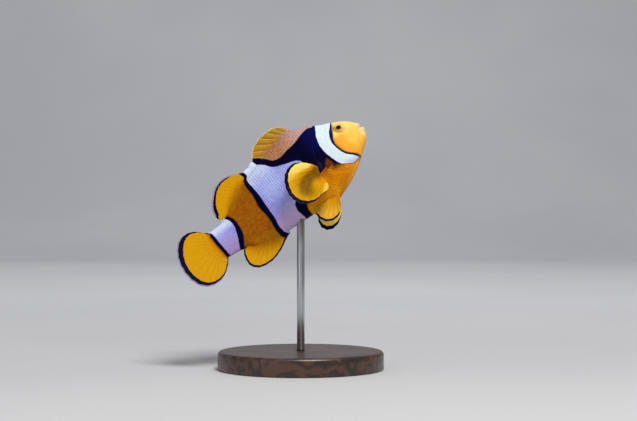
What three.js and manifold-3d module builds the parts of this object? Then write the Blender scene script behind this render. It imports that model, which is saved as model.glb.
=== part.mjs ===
// A percula clownfish as a still, life-size model, rising head up on a plain round stand with one rod.
// The body is lofted whole from its outlines, then parted at the jaw, the gill covers and the tail.
// Stations run back from the snout, left and up are measured from the body's middle line; millimetres.
import * as THREE from "three";
import { mergeVertices } from "three/addons/utils/BufferGeometryUtils.js";
import Module from "manifold-3d";

const wasm = await Module();
wasm.setup();

// Body outlines, each a list of [station, height or half width].
const TAIL_ROOT = 61;
const NOSE_LENGTH = 4;
const BACK_LINE = [
  [0, 4.0], [3, 6.7], [6, 9.0], [10, 11.5], [15, 14.9], [20, 17.1], [25, 17.1],
  [31, 16.3], [38, 15.1], [45, 12.8], [51, 9.7], [56, 7.9], [61, 7.6],
];
const BELLY_LINE = [
  [0, -2.6], [3, -3.8], [6, -5.6], [10, -8.2], [15, -10.6], [20, -11.6], [25, -11.2],
  [31, -10.5], [38, -9.5], [45, -8.2], [51, -6.4], [56, -4.4], [61, -3.7],
];
const WIDEST_LINE = [[0, 0.6], [8, 0.6], [16, 1.0], [30, 1.5], [43, 1.5], [52, 1.3], [61, 1.9]];
const HALF_WIDTH = [
  [0, 2.8], [3.5, 3.8], [7, 4.8], [11, 5.6], [16, 6.1], [23, 6.25],
  [31, 5.9], [39, 5.1], [46, 3.9], [53, 2.6], [58, 2.0], [61, 1.6],
];
const FLANK_FULLNESS = 0.92;
const TAIL_WEDGE = 2.2;

// The swimming bend of the body to its right, as [station, degrees], and the stance on the stand.
const BEND = [[0, -3], [12, -1], [25, 0], [38, 2], [50, 9], [61, 15], [76, 19]];
const STRAIGHT_STATION = 25;
const HEAD_UP = 41.4;
const BACK_AWAY = 22;

// Where the body is parted.
const GAP = 0.3;
const JAW_OUTLINE = [[-1, 0.7], [3.9, -0.7], [8.6, -9.5], [-1, -9.5]];
const HEAD_END = 18.9;
const TAIL_START = 47;
const GILL_COVER_RIM = { station: 11.2, height: -0.6, length: 6.8, rise: 7.6, from: -80, to: 75 };
const GILL_COVER_FRONT = [10.4, -0.8];
const GILL_COVER_THICKNESS = 1.0;

// Eyes.
const EYE_RADIUS = 2.05;
const EYE_STATION = 5.9;
const EYE_HEIGHT = 4.6;
const EYE_OFFSET = 2.6;

// Fins. Edges are [station, height] on the middle plane, roots sink into the body.
const FIN_EDGE_THICKNESS = 0.55;
const FIN_ROOT_THICKNESS = 1.3;
const ROOT_DEPTH = 1.2;
const SPINY_ROOT = [18.4, 39.1];
const SPINY_EDGE = [
  [19.0, 17.6], [20.5, 20.9], [22.9, 22.6], [25.2, 23.0], [27.8, 22.8], [30.6, 21.9],
  [33.0, 20.5], [34.9, 18.6], [37.2, 17.8], [39.7, 17.4],
];
const SOFT_ROOT = [39.4, 51.5];
const SOFT_EDGE = [
  [40.0, 17.4], [43.2, 19.0], [46.4, 19.8], [50.1, 18.6], [53.3, 15.3], [55.1, 11.8], [54.8, 9.2],
];
const ANAL_ROOT = [40.6, 52.5];
const ANAL_EDGE = [
  [40.8, -9.8], [43.6, -11.0], [46.6, -12.7], [51.2, -13.8], [55.4, -12.8], [56.9, -9.8],
  [56.4, -6.4], [55.4, -4.6],
];
const TAIL_FIN_ROOT = [6.6, -2.7];
const TAIL_FIN_LOBE = { station: 67.8, height: 1.3, length: 7.3, rise: 9.9, from: 138, to: -146 };
const TAIL_FIN_ROOT_THICKNESS = 1.6;

// Paired fins, for the right side: root ends, lobe centre and half lengths as [station, left, up].
const PECTORAL = {
  rootTop: [19.5, -5.6, -1.0],
  rootBottom: [21.2, -4.2, -7.4],
  centre: [26.0, -9.9, -4.6],
  along: [5.5, -4.3, 0],
  across: [0, 0, 7.8],
  from: 118,
  to: -122,
  cup: 1.3,
};
const PELVIC = {
  rootTop: [22.6, -1.0, -10.4],
  rootBottom: [19.4, -1.9, -10.4],
  centre: [26.0, -3.5, -13.4],
  along: [4.6, -0.9, -0.9],
  across: [0, -0.4, 3.9],
  from: 38,
  to: -148,
  cup: -0.5,
};
const LEFT_PELVIC_TRAIL = 1.1;

// Stand: the rod runs into blind holes in the belly and in the base.
const BASE_RADIUS = 27;
const BASE_HEIGHT = 6;
const BASE_EDGE = 1.2;
const FOOT_EDGE = 0.4;
const ROD_RADIUS = 1.25;
const ROD_STATION = 36;
const ROD_HOLD = 2.5;
const BELLY_HEIGHT = 47.6;
const HOLE_CLEARANCE = 0.3;

const BODY_SIDES = 28;
const BODY_RINGS = 26;
const NOSE_RINGS = 6;
const radians = THREE.MathUtils.degToRad;
const lerp = THREE.MathUtils.lerp;

// A smooth curve through [place, value] pairs, flat beyond its ends.
function smooth(pairs) {
  const slope = pairs.slice(1).map((pair, i) => (pair[1] - pairs[i][1]) / (pair[0] - pairs[i][0]));
  const tangent = pairs.map((pair, i) => {
    if (i === 0) return slope[0];
    if (i === pairs.length - 1) return slope[i - 1];
    const before = pair[0] - pairs[i - 1][0];
    const after = pairs[i + 1][0] - pair[0];
    return (slope[i - 1] * after + slope[i] * before) / (before + after);
  });
  return (place) => {
    const x = THREE.MathUtils.clamp(place, pairs[0][0], pairs[pairs.length - 1][0]);
    let i = 0;
    while (i < pairs.length - 2 && x > pairs[i + 1][0]) i += 1;
    const span = pairs[i + 1][0] - pairs[i][0];
    const t = (x - pairs[i][0]) / span;
    const rise = t * t * (3 - 2 * t);
    const ends = pairs[i][1] * (1 - rise) + pairs[i + 1][1] * rise;
    return ends + span * (tangent[i] * t * (1 - t) ** 2 - tangent[i + 1] * t * t * (1 - t));
  };
}

const backAt = smooth(BACK_LINE);
const bellyAt = smooth(BELLY_LINE);
const widestAt = smooth(WIDEST_LINE);
const halfWidthAt = smooth(HALF_WIDTH);
const bendAt = smooth(BEND);

// Where the body's middle line runs once it is bent: distance back and to the right.
function middleLine(station) {
  const steps = 24;
  const step = (station - STRAIGHT_STATION) / steps;
  let back = STRAIGHT_STATION;
  let right = 0;
  for (let i = 0; i < steps; i += 1) {
    const turn = radians(bendAt(STRAIGHT_STATION + (i + 0.5) * step));
    back += step * Math.cos(turn);
    right += step * Math.sin(turn);
  }
  return { back, right };
}

// A place on the straight fish, carried along by the bend. The fish looks along +X with its left at +Y.
function bent(station, left, up) {
  const turn = radians(bendAt(station));
  const { back, right } = middleLine(station);
  return new THREE.Vector3(-(back + left * Math.sin(turn)), left * Math.cos(turn) - right, up);
}

// Geometry from shared points and faces, and to and from a solid for joining and cutting.
function geometryFrom(points, faces) {
  const geometry = new THREE.BufferGeometry().setFromPoints(points);
  geometry.setIndex(faces.flat());
  return geometry;
}

function solidFrom(geometry) {
  const bare = geometry.clone();
  bare.deleteAttribute("normal");
  bare.deleteAttribute("uv");
  const merged = mergeVertices(bare, 1e-5);
  const build = (triVerts) =>
    new wasm.Manifold(
      new wasm.Mesh({ numProp: 3, vertProperties: merged.attributes.position.array, triVerts }),
    );
  const triVerts = new Uint32Array(merged.index.array);
  const solid = build(triVerts);
  return solid.volume() > 0 ? solid : build(triVerts.reverse());
}

function geometryOf(solid) {
  const mesh = solid.getMesh();
  const geometry = new THREE.BufferGeometry();
  geometry.setAttribute("position", new THREE.BufferAttribute(mesh.vertProperties, 3));
  geometry.setIndex(new THREE.BufferAttribute(mesh.triVerts, 1));
  geometry.computeVertexNormals();
  return geometry;
}

// One ring of the body; a positive inset shrinks the body and a negative one swells it.
function bodyRing(station, inset) {
  const nose = Math.sqrt(Math.max(0, 1 - Math.max(0, 1 - station / NOSE_LENGTH) ** 2));
  const wedge = 1 - 0.8 * Math.max(0, (station - TAIL_ROOT) / TAIL_WEDGE);
  const middle = widestAt(station);
  const width = Math.max(0.05, halfWidthAt(station) * nose * wedge - inset);
  const rise = Math.max(0.05, (backAt(station) - middle) * nose - inset);
  const fall = Math.max(0.05, (middle - bellyAt(station)) * nose - inset);
  return Array.from({ length: BODY_SIDES }, (_, i) => {
    const angle = (2 * Math.PI * i) / BODY_SIDES;
    const side = Math.sign(Math.cos(angle)) * Math.abs(Math.cos(angle)) ** FLANK_FULLNESS;
    const height = Math.sin(angle) * (Math.sin(angle) > 0 ? rise : fall);
    return bent(station, width * side, middle + height);
  });
}

function body(inset) {
  const stations = [];
  for (let i = 1; i <= NOSE_RINGS; i += 1) {
    stations.push(NOSE_LENGTH * (1 - Math.cos((Math.PI * i) / (2 * NOSE_RINGS))));
  }
  for (let i = 1; i <= BODY_RINGS; i += 1) {
    stations.push(lerp(NOSE_LENGTH, TAIL_ROOT, i / BODY_RINGS));
  }
  stations.push(TAIL_ROOT + TAIL_WEDGE);
  const rings = stations.map((station) => bodyRing(station, inset));
  const points = rings.flat();
  const snout = points.push(bent(Math.min(0, inset), 0, widestAt(0))) - 1;
  const tail = points.push(bent(TAIL_ROOT + TAIL_WEDGE, 0, widestAt(TAIL_ROOT))) - 1;
  const last = (rings.length - 1) * BODY_SIDES;
  const faces = [];
  for (let i = 0; i < BODY_SIDES; i += 1) {
    const next = (i + 1) % BODY_SIDES;
    faces.push([snout, next, i], [tail, last + i, last + next]);
    for (let ring = 0; ring < last; ring += BODY_SIDES) {
      faces.push([ring + i, ring + next, ring + BODY_SIDES + i]);
      faces.push([ring + next, ring + BODY_SIDES + next, ring + BODY_SIDES + i]);
    }
  }
  return solidFrom(geometryFrom(points, faces));
}

// A block with a side outline, across the body between two distances to the left.
function sideBlock(outline, near, far, grow = 0) {
  const centre = outline.reduce((sum, [s, h]) => [sum[0] + s, sum[1] + h], [0, 0]);
  const middle = centre.map((total) => total / outline.length);
  const shape = new THREE.Shape(
    outline.map(([s, h]) => {
      const out = new THREE.Vector2(s - middle[0], h - middle[1]);
      out.setLength(out.length() + grow);
      return new THREE.Vector2(middle[0] + out.x, middle[1] + out.y);
    }),
  );
  const geometry = new THREE.ExtrudeGeometry(shape, { depth: far - near, bevelEnabled: false });
  const place = geometry.getAttribute("position");
  for (let i = 0; i < place.count; i += 1) {
    const point = bent(place.getX(i), near + place.getZ(i), place.getY(i));
    place.setXYZ(i, point.x, point.y, point.z);
  }
  return solidFrom(geometry);
}

// A band across the whole body between two stations.
function bodyBand(from, to) {
  const reach = 30;
  return sideBlock([[from, -reach], [to, -reach], [to, reach], [from, reach]], -reach, reach);
}

// A thin curved plate: surface(w, r) runs across the fin with w and from root to edge with r.
function blade(columns, rows, surface, rootThickness) {
  const step = 1e-3;
  const front = [];
  const rear = [];
  for (let i = 0; i <= columns; i += 1) {
    for (let j = 0; j <= rows; j += 1) {
      const w = i / columns;
      const r = j / rows;
      const point = surface(w, r);
      const inside = THREE.MathUtils.clamp(w, step, 1 - step);
      const out = THREE.MathUtils.clamp(r, step, 1 - step);
      const along = surface(inside + step, out).sub(surface(inside - step, out));
      const outward = surface(inside, out + step).sub(surface(inside, out - step));
      const normal = along.cross(outward).normalize();
      const half = lerp(rootThickness, FIN_EDGE_THICKNESS, Math.min(1, 1.6 * r)) / 2;
      front.push(point.clone().addScaledVector(normal, half));
      rear.push(point.clone().addScaledVector(normal, -half));
    }
  }
  const size = front.length;
  const line = rows + 1;
  const faces = [];
  const quad = (a, b, c, d) => faces.push([a, b, c], [a, c, d]);
  for (let i = 0; i < columns; i += 1) {
    const at = i * line;
    for (let j = at; j < at + rows; j += 1) {
      quad(j, j + line, j + line + 1, j + 1);
      quad(size + j, size + j + 1, size + j + line + 1, size + j + line);
    }
    quad(at, size + at, size + at + line, at + line);
    quad(at + rows, at + rows + line, size + at + rows + line, size + at + rows);
  }
  const end = columns * line;
  for (let j = 0; j < rows; j += 1) {
    quad(j, j + 1, size + j + 1, size + j);
    quad(end + j, size + end + j, size + end + j + 1, end + j + 1);
  }
  return solidFrom(geometryFrom([...front, ...rear], faces));
}

// Fin edges on the middle plane, from a list of points or from a rounded lobe.
function edgeThrough(points) {
  const station = smooth(points.map((point, i) => [i / (points.length - 1), point[0]]));
  const height = smooth(points.map((point, i) => [i / (points.length - 1), point[1]]));
  return (w) => [station(w), height(w)];
}

function edgeOfLobe({ station, height, length, rise, from, to }) {
  return (w) => {
    const angle = radians(lerp(from, to, w));
    return [station + length * Math.cos(angle), height + rise * Math.sin(angle)];
  };
}

function medianFin(root, edge, columns, rows, rootThickness = FIN_ROOT_THICKNESS) {
  const surface = (w, r) => {
    const [rootStation, rootHeight] = root(w);
    const [edgeStation, edgeHeight] = edge(w);
    return bent(lerp(rootStation, edgeStation, r), 0, lerp(rootHeight, edgeHeight, r));
  };
  return blade(columns, rows, surface, rootThickness);
}

const rootOn = (line, [from, to], sink) => (w) => {
  const station = lerp(from, to, w);
  return [station, line(station) + sink];
};

// A paired fin fans out from its root to a rounded, cupped lobe. side is -1 on the right and 1 on the left,
// and trail carries the lobe further back.
function pairedFin(fin, side, columns, rows, trail = 0) {
  const vector = ([station, left, up]) => new THREE.Vector3(station, left, up);
  const along = vector(fin.along);
  const across = vector(fin.across);
  const hollow = along.clone().cross(across).normalize().multiplyScalar(fin.cup);
  const surface = (w, r) => {
    const angle = radians(lerp(fin.from, fin.to, w));
    const edge = vector(fin.centre)
      .addScaledVector(along, Math.cos(angle))
      .addScaledVector(across, Math.sin(angle));
    edge.x += trail;
    const place = vector(fin.rootTop).lerp(vector(fin.rootBottom), w).lerp(edge, r);
    place.addScaledVector(hollow, Math.sin(Math.PI * r) * Math.sin(Math.PI * w));
    return bent(place.x, -side * place.y, place.z);
  };
  return blade(columns, rows, surface, FIN_ROOT_THICKNESS);
}

// Materials, one for each mesh.
const paint = (color, roughness = 0.45) =>
  new THREE.MeshStandardMaterial({ color, roughness, metalness: 0 });
const ORANGE = 0xe8891a;
const FIN_ORANGE = 0xf0a428;
const steel = () => new THREE.MeshStandardMaterial({ color: 0xb8bcc0, roughness: 0.3, metalness: 1 });
const wood = () => new THREE.MeshStandardMaterial({ color: 0x3a2417, roughness: 0.5, metalness: 0 });

function part(name, solid, material) {
  const mesh = new THREE.Mesh(geometryOf(solid), material);
  mesh.name = name;
  return mesh;
}

// The stance: the middle of the belly at the rod's station is straight above the middle of the base.
const fish = new THREE.Group();
fish.rotation.set(radians(-BACK_AWAY), radians(-HEAD_UP), 0, "ZYX");
const heldPoint = bent(ROD_STATION, 0, bellyAt(ROD_STATION)).applyEuler(fish.rotation);
fish.position.set(-heldPoint.x, -heldPoint.y, BELLY_HEIGHT - heldPoint.z);
fish.updateMatrixWorld(true);

function eyeSolid(side, radius) {
  const ball = new THREE.SphereGeometry(radius, 14, 10);
  const centre = bent(EYE_STATION, side * EYE_OFFSET, EYE_HEIGHT);
  return solidFrom(ball.translate(centre.x, centre.y, centre.z));
}

function rodSolid(radius, bottom, top) {
  const rod = new THREE.CylinderGeometry(radius, radius, top - bottom, 24);
  return solidFrom(rod.rotateX(Math.PI / 2).translate(0, 0, (top + bottom) / 2));
}

// The rod's hole, carried into the fish's own frame.
function rodHole() {
  const top = BELLY_HEIGHT + ROD_HOLD + HOLE_CLEARANCE;
  const rod = new THREE.CylinderGeometry(ROD_RADIUS + GAP, ROD_RADIUS + GAP, top, 24);
  rod.rotateX(Math.PI / 2).translate(0, 0, top / 2);
  return solidFrom(rod.applyMatrix4(fish.matrixWorld.clone().invert()));
}

function addBody() {
  const whole = body(0);
  const headBlock = whole.intersect(bodyBand(-5, HEAD_END));
  const jawBlock = sideBlock(JAW_OUTLINE, -10, 10);
  const jawRoom = sideBlock(JAW_OUTLINE, -10, 10, GAP);
  let head = headBlock.subtract(jawRoom);
  const lining = body(GILL_COVER_THICKNESS);
  const pocketFloor = body(GILL_COVER_THICKNESS + GAP);
  const rim = edgeOfLobe(GILL_COVER_RIM);
  const outline = Array.from({ length: 13 }, (_, i) => rim(i / 12)).concat([GILL_COVER_FRONT]);
  for (const [name, near, far] of [["right", -9, -1.5], ["left", 1.5, 9]]) {
    const side = Math.sign(near + far);
    const cover = sideBlock(outline, near, far).intersect(whole).subtract(lining);
    head = head.subtract(sideBlock(outline, near, far, GAP).subtract(pocketFloor));
    head = head.subtract(eyeSolid(side, EYE_RADIUS + GAP));
    fish.add(part("gill_cover_" + name, cover, paint(ORANGE)));
    fish.add(part("eye_" + name, eyeSolid(side, EYE_RADIUS), paint(0x120d0a, 0.1)));
  }
  fish.add(part("head", head, paint(ORANGE)));
  fish.add(part("lower_jaw", whole.intersect(jawBlock), paint(ORANGE)));
  const trunk = whole.intersect(bodyBand(HEAD_END + GAP, TAIL_START)).subtract(rodHole());
  fish.add(part("trunk", trunk, paint(0xd9d6e4)));
  const tailEnd = TAIL_ROOT + 2 * TAIL_WEDGE;
  const tail = whole.intersect(bodyBand(TAIL_START + GAP, tailEnd));
  fish.add(part("tail", tail, paint(0xb87412)));
}

function addFins() {
  const room = body(-GAP);
  const spiny = medianFin(rootOn(backAt, SPINY_ROOT, -ROOT_DEPTH), edgeThrough(SPINY_EDGE), 20, 5);
  const soft = medianFin(rootOn(backAt, SOFT_ROOT, -ROOT_DEPTH), edgeThrough(SOFT_EDGE), 16, 5);
  const anal = medianFin(rootOn(bellyAt, ANAL_ROOT, ROOT_DEPTH), edgeThrough(ANAL_EDGE), 16, 5);
  const [rootTop, rootBottom] = TAIL_FIN_ROOT;
  const tailFinRoot = (w) => [TAIL_ROOT, lerp(rootTop, rootBottom, w)];
  const tailFin = medianFin(tailFinRoot, edgeOfLobe(TAIL_FIN_LOBE), 20, 6, TAIL_FIN_ROOT_THICKNESS);
  const fins = {
    dorsal_fin_spiny: spiny,
    dorsal_fin_soft: soft,
    anal_fin: anal,
    caudal_fin: tailFin,
    pectoral_fin_right: pairedFin(PECTORAL, -1, 14, 6),
    pectoral_fin_left: pairedFin(PECTORAL, 1, 14, 6),
    pelvic_fin_right: pairedFin(PELVIC, -1, 11, 5),
    pelvic_fin_left: pairedFin(PELVIC, 1, 11, 5, LEFT_PELVIC_TRAIL),
  };
  for (const [name, solid] of Object.entries(fins)) {
    fish.add(part(name, solid.subtract(room), paint(FIN_ORANGE)));
  }
}

function addStand(root) {
  const hole = ROD_RADIUS + GAP;
  const holeBottom = BASE_HEIGHT - ROD_HOLD - HOLE_CLEARANCE;
  const rim = BASE_RADIUS - BASE_EDGE;
  const profile = [
    [0, 0],
    [BASE_RADIUS - FOOT_EDGE, 0],
    [BASE_RADIUS, FOOT_EDGE],
    [BASE_RADIUS, BASE_HEIGHT - BASE_EDGE],
  ];
  for (const angle of [30, 60]) {
    const turn = radians(angle);
    profile.push([rim + BASE_EDGE * Math.cos(turn), BASE_HEIGHT - BASE_EDGE * (1 - Math.sin(turn))]);
  }
  profile.push([rim, BASE_HEIGHT], [hole, BASE_HEIGHT], [hole, holeBottom], [0, holeBottom]);
  const points = profile.map(([radius, height]) => new THREE.Vector2(radius, height));
  const base = new THREE.LatheGeometry(points, 40).rotateX(Math.PI / 2);
  root.add(part("stand_base", solidFrom(base), wood()));
  const rod = rodSolid(ROD_RADIUS, BASE_HEIGHT - ROD_HOLD, BELLY_HEIGHT + ROD_HOLD);
  root.add(part("stand_rod", rod, steel()));
}

const clownfish = new THREE.Group();
clownfish.add(fish);
addBody();
addFins();
addStand(clownfish);

export default clownfish;
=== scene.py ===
"""A percula clownfish as a life-size display model: one skin with solid scales, rayed fins, eyes and a stand.

The fish is shaped straight, in millimetres: station runs back from the snout, left and up from its middle
line. bent() then bends it and to_world() banks it on the stand, as the frame has it.
"""
import functools
import math

import bpy
import numpy as np
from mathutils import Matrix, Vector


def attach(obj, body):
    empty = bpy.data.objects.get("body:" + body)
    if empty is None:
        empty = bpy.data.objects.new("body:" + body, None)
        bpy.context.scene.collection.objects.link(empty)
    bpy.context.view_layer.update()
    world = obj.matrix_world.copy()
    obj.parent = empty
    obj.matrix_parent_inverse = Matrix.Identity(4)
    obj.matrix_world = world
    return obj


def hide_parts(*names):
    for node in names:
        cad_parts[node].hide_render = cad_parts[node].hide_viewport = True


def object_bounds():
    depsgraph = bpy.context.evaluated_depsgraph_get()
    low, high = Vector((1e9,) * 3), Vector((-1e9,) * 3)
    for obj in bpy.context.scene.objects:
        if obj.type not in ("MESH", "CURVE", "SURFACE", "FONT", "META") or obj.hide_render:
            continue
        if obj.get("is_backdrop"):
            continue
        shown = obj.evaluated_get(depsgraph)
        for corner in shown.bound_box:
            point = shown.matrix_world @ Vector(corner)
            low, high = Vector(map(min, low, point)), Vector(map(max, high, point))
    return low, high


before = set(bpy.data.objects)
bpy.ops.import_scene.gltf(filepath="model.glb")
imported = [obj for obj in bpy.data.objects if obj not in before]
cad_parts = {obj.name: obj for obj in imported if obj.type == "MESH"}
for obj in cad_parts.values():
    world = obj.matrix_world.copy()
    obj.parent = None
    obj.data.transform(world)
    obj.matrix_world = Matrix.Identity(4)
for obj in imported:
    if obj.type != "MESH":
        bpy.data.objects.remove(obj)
cad_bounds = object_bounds()


def smooth(pairs):
    """A smooth curve through [place, value] pairs, flat beyond its ends."""
    places, values = np.array(pairs, float).T
    span = np.diff(places)
    slope = np.diff(values) / span
    inner = (slope[:-1] * span[1:] + slope[1:] * span[:-1]) / (span[1:] + span[:-1])
    tangent = np.concatenate([slope[:1], inner, slope[-1:]])

    def at(place):
        x = np.clip(place, places[0], places[-1])
        i = np.clip(np.searchsorted(places, x, side="right") - 1, 0, len(span) - 1)
        t = (x - places[i]) / span[i]
        rise = t * t * (3 - 2 * t)
        ends = values[i] * (1 - rise) + values[i + 1] * rise
        return ends + span[i] * (tangent[i] * t * (1 - t) ** 2 - tangent[i + 1] * t * t * (1 - t))

    return at


def step_up(low, high, value):
    t = np.clip((np.asarray(value, float) - low) / (high - low), 0, 1)
    return t * t * (3 - 2 * t)


def bell(distance, width):
    return np.exp(-((distance / width) ** 2))


def mix(a, b, share):
    return a + (b - a) * share


# ---- the fish's outlines, the same as in the frame: [station, height or half width] ----
MM = 0.001
TAU = 2 * math.pi
QUARTER = math.pi / 2
RIGHT, LEFT = -1, 1
TAIL_ROOT = 61
NOSE_LENGTH = 4
FLANK_FULLNESS = 0.92
TAIL_WEDGE = 2.2
back_at = smooth([
    [0, 4], [3, 6.7], [6, 9], [10, 11.5], [15, 14.9], [20, 17.1], [25, 17.1],
    [31, 16.3], [38, 15.1], [45, 12.8], [51, 9.7], [56, 7.9], [61, 7.6],
])
belly_at = smooth([
    [0, -2.6], [3, -3.8], [6, -5.6], [10, -8.2], [15, -10.6], [20, -11.6], [25, -11.2],
    [31, -10.5], [38, -9.5], [45, -8.2], [51, -6.4], [56, -4.4], [61, -3.7],
])
widest_at = smooth([[0, 0.6], [8, 0.6], [16, 1], [30, 1.5], [43, 1.5], [52, 1.3], [61, 1.9]])
half_width_at = smooth([
    [0, 2.8], [3.5, 3.8], [7, 4.8], [11, 5.6], [16, 6.1], [23, 6.25],
    [31, 5.9], [39, 5.1], [46, 3.9], [53, 2.6], [58, 2], [61, 1.6],
])

# ---- how it is bent, in degrees to its right at each station, and held ----
bend_at = smooth([[0, -3], [12, -1], [25, 0], [38, 2], [50, 9], [61, 15], [76, 19]])
STRAIGHT_STATION = 25
HEAD_UP = math.radians(41.4)
BACK_AWAY = math.radians(22)
ROD_STATION = 36
BELLY_HEIGHT = 47.6

# ---- the skin; the rims are ovals, as station, height, length and rise ----
SKIN_DEPTH = 0.16
GAPE_HEIGHT = 1.2
GAPE_SLOPE = -0.436
NOSTRIL = (3.2, 4.2)
# the middle of the painted shade in each nostril, as station and height
NOSTRIL_SHADE_SPOT = (3, 3.9)
VENT_STATION = 39.2
PELVIC_SWELLING = (21, 1.5)
EYE_PLACE = (6.1, 2.6, 4.4)
EYE_RADIUS = 2.05
EYE_GAZE = (0.05, 0.98, 0.1)
IRIS_RADIUS = 1.66
CORNEA_RISE = 0.05
GILL_RIM = (11.2, -0.6, 6.8, 7.6)
CHEEK_RIM = (5, -0.4, 5.4, 6.2)
PECTORAL_ROOT = ((19.5, -1), (21.2, -7.4))

# ---- the fins ----
ROOT_DEPTH = 1.2
SPINY_ROOT = (18.4, 39.4)
SPINY_RAKE = 2.2
SPINY_EDGE = [
    [19.2, 16.9], [19.6, 20.2], [22.1, 22.4], [25.1, 23.1], [28.4, 23.1], [31.4, 22.2],
    [33.4, 20.6], [34.5, 18.8], [36.8, 17.7], [39.9, 17.3],
]
SOFT_ROOT = (39.1, 51.5)
SOFT_EDGE = [
    [39.6, 17.4], [43.1, 19.6], [46.6, 20.4], [50.1, 19.5], [53.4, 16.6], [55.6, 13.4], [56.1, 10.4],
    [55.4, 8.8],
]
ANAL_ROOT = (40.6, 52.5)
ANAL_EDGE = [
    [40.5, -9.9], [43.4, -11.1], [46.7, -12.7], [51.2, -13.8], [55.6, -13], [57.6, -10.4],
    [57.1, -6.8], [55.8, -4.5],
]
TAIL_FIN_ROOT = (6.6, -2.7)
TAIL_FIN_LOBE = (67.8, 1.3, 7.3, 9.9)
TAIL_FIN_TURN = (138, -146)
# A swell is how far an edge passes its plain oval at each angle: here in millimetres, below as a share.
tail_fin_swell = smooth([
    [-146, -0.1], [-123, -0.5], [-102, -0.3], [-80, 0.4], [-60, 1.2], [-42, 1.5], [-20, 1.1], [10, 0.6],
    [45, 0.45], [80, 0.9], [105, 0.8], [138, 0.1],
])
PECTORAL = dict(
    root_top=(20.2, -5.7, -1.1), root_bottom=(21.2, -4.2, -7.4), centre=(26, -9.9, -5.1),
    along=(5.5, -4.3, 0), across=(0, 0, 7.7), turn=(118, -136), cup=1.3,
    swell=smooth([
        [-136, -0.07], [-122, -0.1], [-107, -0.12], [-90, -0.1], [-66, 0.05], [-45, 0.13], [-20, 0.1],
        [10, 0.05], [45, 0.06], [90, 0], [118, 0],
    ]),
)
LEFT_PECTORAL = dict(PECTORAL, centre=(25.6, -8.4, -2.9), along=(5.2, -2.9, 0), across=(0, 0, 4.9))
PECTORAL_FOLD = 1.9
PELVIC = dict(
    root_top=(22.8, -1, -10.4), root_bottom=(20.2, -1.5, -10.9), centre=(26, -3.5, -13.4),
    along=(4.6, -0.9, -0.9), across=(0, -0.4, 4.4), turn=(38, -148), cup=-0.5,
    swell=smooth([[-148, 0.03], [-110, 0.05], [-60, 0], [0, 0], [38, 0.06]]),
)
LEFT_PELVIC = dict(
    PELVIC, root_bottom=(20.6, -1.9, -10.6), centre=(26.1, -3.5, -12.8), turn=(40, -136),
    swell=smooth([[-136, 0.04], [-100, 0.06], [-60, 0.05], [-20, 0.02], [40, 0]]),
)
LEFT_PELVIC_TRAIL = 1.1
# Rays, how far they branch, their height, ripple of the membrane, scallop of the edge and mesh size.
FIN_KINDS = {
    "dorsal_fin_spiny": dict(rays=10, branching=0, ray=0.13, ripple=0.09, scallop=0.06, columns=200, rows=44),
    "dorsal_fin_soft": dict(rays=16, branching=1, ray=0.09, ripple=0.03, scallop=0.012, columns=240, rows=50),
    "anal_fin": dict(rays=13, branching=1, ray=0.09, ripple=0.03, scallop=0.012, columns=210, rows=50),
    "caudal_fin": dict(rays=17, branching=1, ray=0.085, ripple=0.03, scallop=0.01, columns=272, rows=60),
    "pectoral_fin": dict(rays=16, branching=1, ray=0.09, ripple=0.04, scallop=0.012, columns=240, rows=50),
    "pelvic_fin": dict(rays=6, branching=1, ray=0.12, ripple=0.05, scallop=0.015, columns=132, rows=44),
}
MEMBRANE = 0.12
# The width of the black along each fin's edge, as [share of the way along the edge, millimetres].
tail_fin_band = smooth([
    [0, -0.6], [0.03, -0.4], [0.05, 0.5], [0.08, 0.95], [0.16, 1.2], [0.23, 1.55], [0.5, 1.5], [0.6, 1.35],
    [0.68, 1.15], [0.74, 1], [0.8, 0.9], [0.87, 0.95], [0.93, 1.5], [0.97, 2.6], [1, 4],
])
soft_band = smooth([
    [0, -0.5], [0.14, -0.3], [0.2, 0.35], [0.32, 0.6], [0.5, 0.72], [0.88, 0.7], [0.94, 0.2], [1, -0.3],
])
pectoral_band = smooth([
    [0, 1.9], [0.04, 2.6], [0.08, 2.3], [0.14, 1.6], [0.22, 1.3], [0.45, 1.35], [0.62, 1.15], [0.75, 0.85],
    [0.84, 0.5], [0.92, 0.15], [1, -0.3],
])
left_pelvic_band = smooth([[0, 0.7], [0.3, 1.2], [0.6, 1.2], [0.85, 0.7], [1, 0.4]])

# ---- the markings' outlines on the flank, as [height, station] ----
head_front = smooth([
    [-9, 6.6], [-6.4, 7.6], [-4.2, 9.9], [-0.9, 11], [2.8, 10.85], [5.3, 9.7], [7.9, 7.7], [10, 6.6],
])
head_rear = smooth([
    [-8, 10.6], [-6.9, 11.9], [-5.6, 13.2], [-2.2, 14.4], [2.9, 14.8], [6.7, 13.8], [10.4, 12], [13.5, 10.8],
])
saddle_front = smooth([
    [-12, 31], [-10, 31.4], [-8.5, 30.9], [-7, 29.4], [-6, 27.7], [-4.6, 25.4], [-3.9, 22.5],
    [-3.5, 19.4], [-2.2, 17.4], [-0.8, 15.6], [1, 14.2], [3, 12.4], [8, 11], [14, 9],
])
mid_front = smooth([
    [-12, 33.8], [-10, 33.8], [-7.1, 34.1], [-4.6, 32.3], [-3, 28.5], [-1, 24.5], [1, 22.8],
    [3, 22.5], [5.2, 23.7], [7.4, 27.7], [9, 30.3], [12.8, 32.6], [15.5, 34.3], [18, 34.9], [21, 35.4],
])
mid_rear = smooth([
    [-12, 38.6], [-10.3, 40.7], [-9.2, 41.7], [-7.9, 42.1], [-4.4, 41.5], [1.5, 40.9], [5, 40.5], [9, 40.4],
    [12.4, 40.4], [14, 40], [15.4, 39.2], [17, 39.4], [20, 40.3],
])
tail_front = smooth([
    [-6, 56.4], [-4, 55], [-2.5, 53.9], [-1, 53], [1, 52.5], [4, 52.2], [6.4, 52.5], [9, 53.4],
])
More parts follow.
